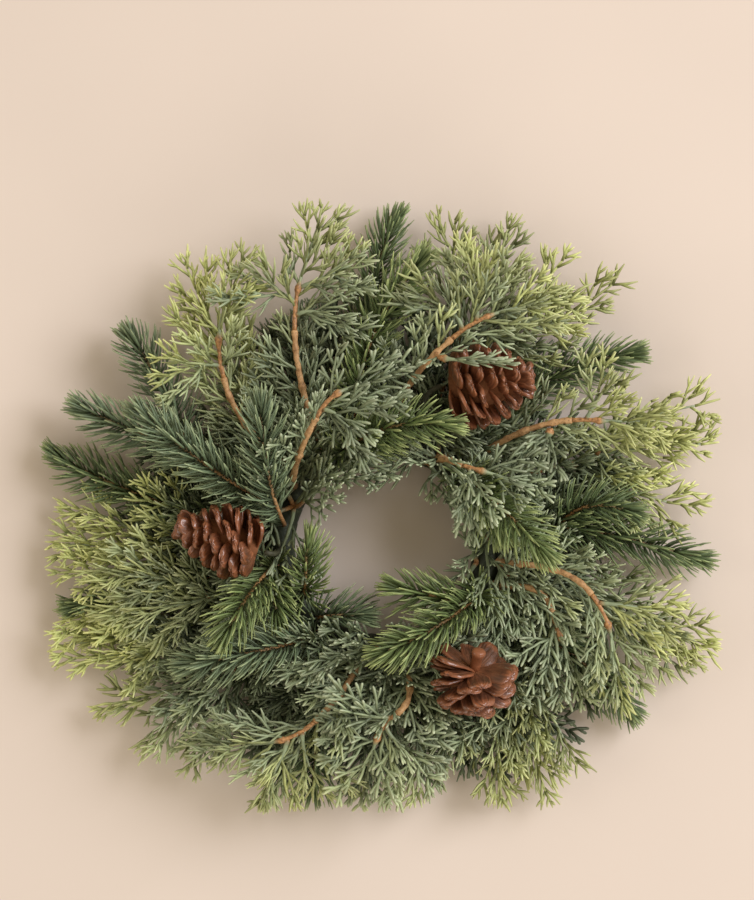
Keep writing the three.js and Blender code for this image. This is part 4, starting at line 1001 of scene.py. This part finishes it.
def make_ring():
    """The ring, wound with tape whose edge steps up at every turn, flat where it rests."""
    piece = Piece()
    turn = np.linspace(0, 2 * math.pi, RING_STEPS, endpoint=False)[:, None]
    angle = np.linspace(0, 2 * math.pi, RING_SIDES, endpoint=False)[None, :]
    wind = (turn * TAPE_TURNS + angle) / (2 * math.pi)
    radius = TUBE_RADIUS - TAPE_STEP * (wind % 1) ** 3
    out = RING_RADIUS + radius * np.cos(angle)
    height = np.maximum(TUBE_HEIGHT + radius * np.sin(angle), 0)
    points = np.stack([out * np.cos(turn), out * np.sin(turn), height], axis=-1).reshape(-1, 3)
    tones = np.stack([wind % 1, np.floor(wind) * 0.37 % 1, 0 * wind, 0 * wind], axis=-1).reshape(-1, 4)
    k, i = np.meshgrid(np.arange(RING_STEPS), np.arange(RING_SIDES), indexing="ij")
    row, next_row = k * RING_SIDES, (k + 1) % RING_STEPS * RING_SIDES
    next_i = (i + 1) % RING_SIDES
    corners = [row + i, next_row + i, next_row + next_i, row + next_i]
    piece.add(points, tones, np.stack(corners, axis=-1).reshape(-1, 4))
    piece.make("ring_tape", "ring", "tape")


# Pine cones

def add_scale(piece, root, along, over, length, width, thickness, shade, sway):
    """A thick tongue with a swollen round end, hollowed and ribbed along its upper side."""
    across = over.cross(along)
    turn = angles(SCALE_SIDES)
    flat, tall = (np.sign(wave) * np.abs(wave) ** 0.8 for wave in (np.cos(turn), np.sin(turn)))
    points, tones = [], []
    for k in range(SCALE_ROWS + 1):
        u = 1 - (1 - k / SCALE_ROWS) ** 1.7
        end = math.sqrt(max(0.004, 1 - clamp((u - 0.8) / 0.2) ** 2))
        half = width * mix(0.45, 1, smooth(0, 0.6, u)) * mix(end, 1, 0.15 * (u < 1))
        half *= 1 + 0.1 * noise.noise((4 * u, 9 * shade, 0))
        thick = thickness * mix(0.5, 1, smooth(0.1, 0.8, u)) * end
        deep = thick * (1 - flat ** 2) * smooth(0, 0.2, u) * (1 - smooth(0.85, 1, u))
        hollow = deep * np.where(tall > 0, 1.0, -0.5)
        middle = np.array(root + along * (u * length) + (over * 0.14 + across * sway) * (length * u * u))
        ribs = 0.16 * thick * np.cos(4 * math.pi * flat + 6 * shade) * smooth(0.2, 0.5, u)
        rise = thick * tall - hollow + 0.55 * thick * flat ** 2 + ribs * tall
        bumps = 0.035 * length * np.cos(3 * math.pi * flat + 9 * shade) * smooth(0.5, 1, u)
        points.append(middle + np.outer(half * flat, across) + np.outer(rise, over) + np.outer(bumps, along))
        rims = [max(smooth(0.78, 1, u), 0.75 * smooth(0.7, 1, abs(f))) for f in flat]
        tones += [(u, shade, rim, 0.5 + 0.5 * f) for rim, f in zip(rims, flat)]
    last = SCALE_ROWS * SCALE_SIDES
    piece.add(
        np.concatenate([*points, points[-1].mean(axis=0, keepdims=True)]),
        [*tones, tones[-1]],
        ring_faces(SCALE_ROWS + 1, SCALE_SIDES),
        tip_faces(last + SCALE_SIDES, last, SCALE_SIDES),
        root_faces(SCALE_SIDES),
    )


def add_straight(piece, spine, up, along, radii, sides, tone):
    """A straight tube of one tone."""
    count = len(spine)
    add_tube(piece, spine, [up] * count, [along] * count, radii, sides, [tone] * count)


def add_stub(piece, stalk, axis, up):
    """The stub at the stalk end of a cone, with a collar round its cut."""
    spine = [stalk - axis * STUB_LENGTH * share for share, _ in STUB_PROFILE]
    radii = [STUB_RADIUS * swell for _, swell in STUB_PROFILE]
    add_straight(piece, spine, up, -axis, radii, STUB_SIDES, STUB_TONE)


def make_cone(cone, seed):
    """A pine cone: a slim core with thick tongues in a spiral, wide open at the stalk, closed at the end."""
    draws = random.Random(seed)
    piece = Piece()
    stalk = cone["stalk"]
    height = (cone["free"] - stalk).length
    axis = (cone["free"] - stalk) / height
    side = UP.cross(axis).normalized()
    up = axis.cross(side)
    shares = np.linspace(0, 1, CORE_STEPS)
    core = [cone["radius"] * (0.14 + 0.38 * math.sin(math.pi * clamp(0.9 * s + 0.05))) for s in shares]
    spine = [stalk + axis * height * mix(*CORE_SPAN, s) for s in shares]
    add_straight(piece, spine, up, axis, core, CORE_SIDES, CORE_TONE)
    if cone["stub"]:
        add_stub(piece, stalk, axis, up)
    first_lean, closing = OPEN_CONE if cone["stub"] else CLOSED_CONE
    for i in range(SCALE_COUNT):
        share = (i + 0.5) / SCALE_COUNT
        radial = lean_to(side, up, i * GOLDEN_ANGLE + 0.4)
        lean = mix(first_lean, SCALE_END_LEAN, share ** closing) + draws.uniform(*SCALE_STRAY)
        along = lean_to(axis, radial, lean)
        straight = axis * math.sin(lean) - radial * math.cos(lean)
        over = Quaternion(along, SCALE_TWIST * draws.uniform(*SCALE_TWISTS)) @ straight
        place = mix(*SCALE_SPAN, share)
        reach = cone_reach(cone, share) * draws.uniform(*SCALE_REACHES)
        length = min(reach / math.sin(lean), height * (1.06 - place) / max(0.05, math.cos(lean)))
        width = SCALE_WIDTH * mix(1, 0.6, share ** 2) * draws.uniform(*SCALE_WIDTHS)
        thickness = SCALE_THICKNESS * mix(1, 0.8, share)
        sway = draws.uniform(*SCALE_SWAY)
        # the cone's range of shades paints light and shade on it as a whole
        shade = mix(*cone["painted_shades"], draws.random())
        add_scale(piece, stalk + axis * height * place, along, over, length, width, thickness, shade, sway)
    piece.make(cone["name"] + "_scales", cone["name"], "cone")


# Materials

def colour(tint):
    """A colour in the linear values that shaders use, from its usual 0 to 255 values."""
    channels = [value / 255 for value in tint]
    return (*[c / 12.92 if c <= 0.04045 else ((c + 0.055) / 1.055) ** 2.4 for c in channels], 1)


class Look:
    """A material that its nodes are added to one by one. Tints are usual 0 to 255 values."""

    def __init__(self, name):
        self.material = bpy.data.materials.new(name)
        self.material.use_nodes = True
        self.nodes = self.material.node_tree.nodes
        self.shader = self.nodes["Principled BSDF"]

    def feed(self, socket, value):
        """Gives a socket another socket's value or a plain one."""
        if isinstance(value, bpy.types.NodeSocket):
            self.material.node_tree.links.new(value, socket)
        else:
            socket.default_value = value

    def set(self, name, value):
        self.feed(self.shader.inputs[name], value)

    def ramp(self, value, *stops):
        ramp = self.nodes.new("ShaderNodeValToRGB")
        while len(ramp.color_ramp.elements) < len(stops):
            ramp.color_ramp.elements.new(0.5)
        for element, (position, tint) in zip(ramp.color_ramp.elements, stops):
            element.position = position
            element.color = colour(tint)
        self.feed(ramp.inputs["Fac"], value)
        return ramp.outputs["Color"]

    def mix(self, kind, factor, a, b):
        node = self.nodes.new("ShaderNodeMix")
        node.data_type = "RGBA"
        node.blend_type = kind
        for number, value in ((0, factor), (6, a), (7, b)):
            self.feed(node.inputs[number], value)
        return node.outputs[2]

    def times(self, a, b):
        return self.mix("MULTIPLY", 1.0, a, b)

    def noise(self, scale, detail=3.0):
        place = self.nodes.new("ShaderNodeTexCoord")
        texture = self.nodes.new("ShaderNodeTexNoise")
        texture.inputs["Scale"].default_value = scale
        texture.inputs["Detail"].default_value = detail
        self.feed(texture.inputs["Vector"], place.outputs["Object"])
        return texture.outputs["Fac"]

    def spread(self, value, to_low, to_high, from_low=0, from_high=1):
        node = self.nodes.new("ShaderNodeMapRange")
        self.feed(node.inputs["Value"], value)
        names = ("From Min", "From Max", "To Min", "To Max")
        for name, number in zip(names, (from_low, from_high, to_low, to_high)):
            node.inputs[name].default_value = number
        return node.outputs["Result"]

    def bump(self, height, strength, distance):
        node = self.nodes.new("ShaderNodeBump")
        node.inputs["Strength"].default_value = strength
        node.inputs["Distance"].default_value = distance
        self.feed(node.inputs["Height"], height)
        self.set("Normal", node.outputs["Normal"])

    def tones(self):
        """The four tones of a mesh."""
        tone = self.nodes.new("ShaderNodeAttribute")
        tone.attribute_name = "tone"
        split = self.nodes.new("ShaderNodeSeparateColor")
        self.feed(split.inputs["Color"], tone.outputs["Color"])
        return (*split.outputs, tone.outputs["Alpha"])


def foliage_material(name, root, body, tip, lime_root, lime_body, lime_tip):
    """Moulded foliage, darker at the root as painted shade, paler at the tip, with lime tips and brown
    stems.
    """
    look = Look(name)
    along, shade, lime, bark = look.tones()
    # the dark root stop of each ramp is painted shade among the foliage
    green = look.ramp(along, (0, root), (0.35, body), (0.68, body), (1, tip))
    yellow = look.ramp(along, (0, lime_root), (0.3, lime_body), (0.6, lime_body), (1, lime_tip))
    leaf = look.mix("MIX", lime, green, yellow)
    leaf = look.times(leaf, look.spread(look.noise(220), 0.82, 1.16, 0.35, 0.65))
    leaf = look.times(leaf, look.spread(shade, 0.74, 1.28))
    brown = look.ramp(look.noise(900), (0.3, (122, 84, 52)), (0.7, (206, 154, 102)))
    look.set("Base Color", look.mix("MIX", bark, leaf, brown))
    look.set("Roughness", 0.46)
    look.set("Specular IOR Level", 0.45)
    look.bump(look.noise(1500, 2.0), strength=0.25, distance=0.0003)
    return look.material


def twig_material():
    """Moulded orange-brown bark with darker streaks and spots."""
    look = Look("twig_bark")
    streaks = look.noise(300, 5.0)
    bark = look.ramp(streaks, (0.25, (134, 94, 58)), (0.45, (186, 144, 98)), (0.75, (212, 172, 124)))
    spots = look.spread(look.noise(1100, 2.0), 0.55, 1.0, 0.3, 0.45)
    look.set("Base Color", look.times(bark, spots))
    look.set("Roughness", 0.6)
    look.bump(look.noise(900, 4.0), strength=0.5, distance=0.0006)
    return look.material


def cone_material():
    """Reddish brown scales with fibres along them, dull at the root and painted paler there as light in the
    shaded gaps, lacquered to a lighter rim.
    """
    look = Look("cone_lacquer")
    along, shade, rim, across = look.tones()
    # the paler stops at the root and core are painted light in the shaded gaps between scales
    stops = ((0, (164, 108, 72)), (0.35, (130, 82, 53)), (0.8, (101, 60, 40)), (1, (114, 69, 44)))
    # the shade tone carries each cone's painted light and shade as well as the shade of each scale
    scales = look.times(look.ramp(along, *stops), look.spread(shade, 0.65, 1.35))
    scales = look.mix("MIX", rim, scales, colour((146, 88, 56)))
    place = look.nodes.new("ShaderNodeCombineXYZ")
    for socket, value, factor in zip(place.inputs, (across, along, shade), (11, 2.2, 60)):
        look.feed(socket, look.spread(value, 0, factor))
    lengthwise = look.nodes.new("ShaderNodeTexNoise")
    lengthwise.inputs["Scale"].default_value = 1
    look.feed(lengthwise.inputs["Vector"], place.outputs["Vector"])
    fibres = lengthwise.outputs["Fac"]
    scales = look.times(scales, look.spread(fibres, 0.62, 1.3, 0.3, 0.7))
    spots = look.spread(look.noise(450, 5.0), 0.8, 1.15, 0.3, 0.7)
    look.set("Base Color", look.times(scales, spots))
    look.set("Roughness", look.spread(along, 0.9, 0.45, 0.1, 0.6))
    look.set("Specular IOR Level", look.spread(along, 0.1, 0.5, 0.1, 0.6))
    look.set("Coat Weight", look.spread(along, 0.0, 0.8, 0.3, 0.8))
    look.set("Coat Roughness", 0.13)
    height = look.mix("ADD", 0.4, fibres, look.noise(600, 5.0))
    look.bump(height, strength=0.6, distance=0.0011)
    return look.material


def tape_material(name, dark, light):
    """Waxy stem tape, crinkled, paler along the raised edge of each turn."""
    look = Look(name)
    along, _, _, _ = look.tones()
    crinkle = look.noise(420, 4.0)
    tape = look.ramp(along, (0, light), (0.25, dark), (1, dark))
    look.set("Base Color", look.times(tape, look.spread(crinkle, 0.7, 1.3, 0.3, 0.7)))
    look.set("Roughness", 0.62)
    look.bump(crinkle, strength=0.6, distance=0.0008)
    return look.material


def floor_material():
    look = Look("floor_paper")
    fine = look.spread(look.noise(6, 2.0), 0.98, 1.02, 0.3, 0.7)
    look.set("Base Color", look.times(colour((223, 210, 200)), fine))
    look.set("Roughness", 0.9)
    look.set("Specular IOR Level", 0.1)
    return look.material


# Floor, light and camera, in metres

def make_floor():
    reach, below = 3, 0.0002
    mesh = bpy.data.meshes.new("floor")
    corners = [(-reach, -reach, 0), (reach, -reach, 0), (reach, reach, 0), (-reach, reach, 0)]
    mesh.from_pydata(corners, [], [(0, 1, 2, 3)])
    mesh.materials.append(floor_material())
    floor = add_object("floor", mesh)
    floor.location.z = cad_low.z - below


def add_light(name, place, target, size, watts, tint):
    light = bpy.data.lights.new(name, "AREA")
    light.shape = "DISK"
    light.size = size
    light.energy = watts
    light.color = tint
    made = add_object(name, light)
    made.location = place
    made.rotation_mode = "QUATERNION"
    made.rotation_quaternion = (Vector(target) - Vector(place)).to_track_quat("-Z", "Y")


def make_light():
    """A soft key from the upper right, weak fills from the left and from the foot, and a warm room."""
    add_light("key", (2.35, 1.15, 2.05), (0.12, 0, 0), size=2.4, watts=105, tint=(0.965, 0.955, 1))
    add_light("fill_left", (-2.6, 0.2, 1.4), (0, 0, 0), size=2, watts=21, tint=(1, 0.96, 0.9))
    add_light("fill_low", (1.2, -2.5, 1.4), (0.1, 0, 0), size=2, watts=25, tint=(1, 0.97, 0.92))
    world = bpy.data.worlds.new("room")
    world.use_nodes = True
    room = world.node_tree.nodes["Background"].inputs
    room["Color"].default_value = (1, 0.84, 0.58, 1)
    room["Strength"].default_value = 0.43
    bpy.context.scene.world = world
    bpy.context.scene.view_settings.view_transform = "Standard"


def make_camera():
    """Looks straight down, with the ring's centre where the photograph has it."""
    data = bpy.data.cameras.new("camera")
    data.sensor_width = SENSOR_WIDTH
    data.lens = SENSOR_WIDTH * (CAMERA_HEIGHT - MIDDLE_HEIGHT) / (FRAME_HEIGHT * MM_PER_PIXEL)
    camera = add_object("camera", data)
    across = (FRAME_WIDTH / 2 - RING_PIXEL[0]) * MM_PER_PIXEL
    upward = (RING_PIXEL[1] - FRAME_HEIGHT / 2) * MM_PER_PIXEL
    camera.location = RING_CENTRE + Vector((across, upward, CAMERA_HEIGHT)) * MM
    bpy.context.scene.camera = camera


# The tints of each foliage: root, body and tip where it is green, and the same where it is lime. The dark
# root tints are painted shade among the foliage.
PAINTED_SHADE_ROOT = (48, 58, 36)
PINE_LIME = (PAINTED_SHADE_ROOT, (108, 126, 76), (158, 174, 110))
PINE = (PAINTED_SHADE_ROOT, (102, 120, 82), (152, 166, 112), *PINE_LIME)
PINE_BRIGHT = (PAINTED_SHADE_ROOT, (102, 120, 78), (158, 172, 110), PAINTED_SHADE_ROOT, (116, 134, 82), (172, 184, 122))
PINE_BLUE = ((50, 60, 42), (112, 129, 99), (156, 169, 128), *PINE_LIME)
SAGE = ((52, 62, 40), (138, 151, 119), (176, 186, 156), (118, 126, 76), (178, 185, 119), (206, 209, 144))
MATERIALS = {
    "pine": foliage_material("pine_green", *PINE),
    "pine_bright": foliage_material("pine_bright_green", *PINE_BRIGHT),
    "pine_blue": foliage_material("pine_blue_green", *PINE_BLUE),
    "cedar": foliage_material("cedar_sage", *SAGE),
    "cedar_lime": foliage_material("cedar_lime", *SAGE),
    "twig": twig_material(),
    "cone": cone_material(),
    "tape": tape_material("stem_tape", (42, 50, 32), (66, 76, 48)),
    "wire": tape_material("wire_wrap", (48, 48, 34), (60, 60, 42)),
}

make_floor()
make_light()
make_camera()
make_ring()
twig_stems = {}
for number, row in enumerate(TWIGS):
    stem = Stem(*seat_on_ring(row["root"]), row["bend"], row["tip"])
    make_twig(row, stem, TWIG_SEED + number)
    twig_stems[number + 1] = stem
for number, cone in enumerate(CONES):
    make_cone(cone, CONE_SEED + number)
    make_wire(cone)
for number, row in enumerate(PINES):
    make_pine(row, PINE_SEED + number)
for number, row in enumerate(CEDARS):
    make_cedar(row, twig_stems, CEDAR_SEED + number)
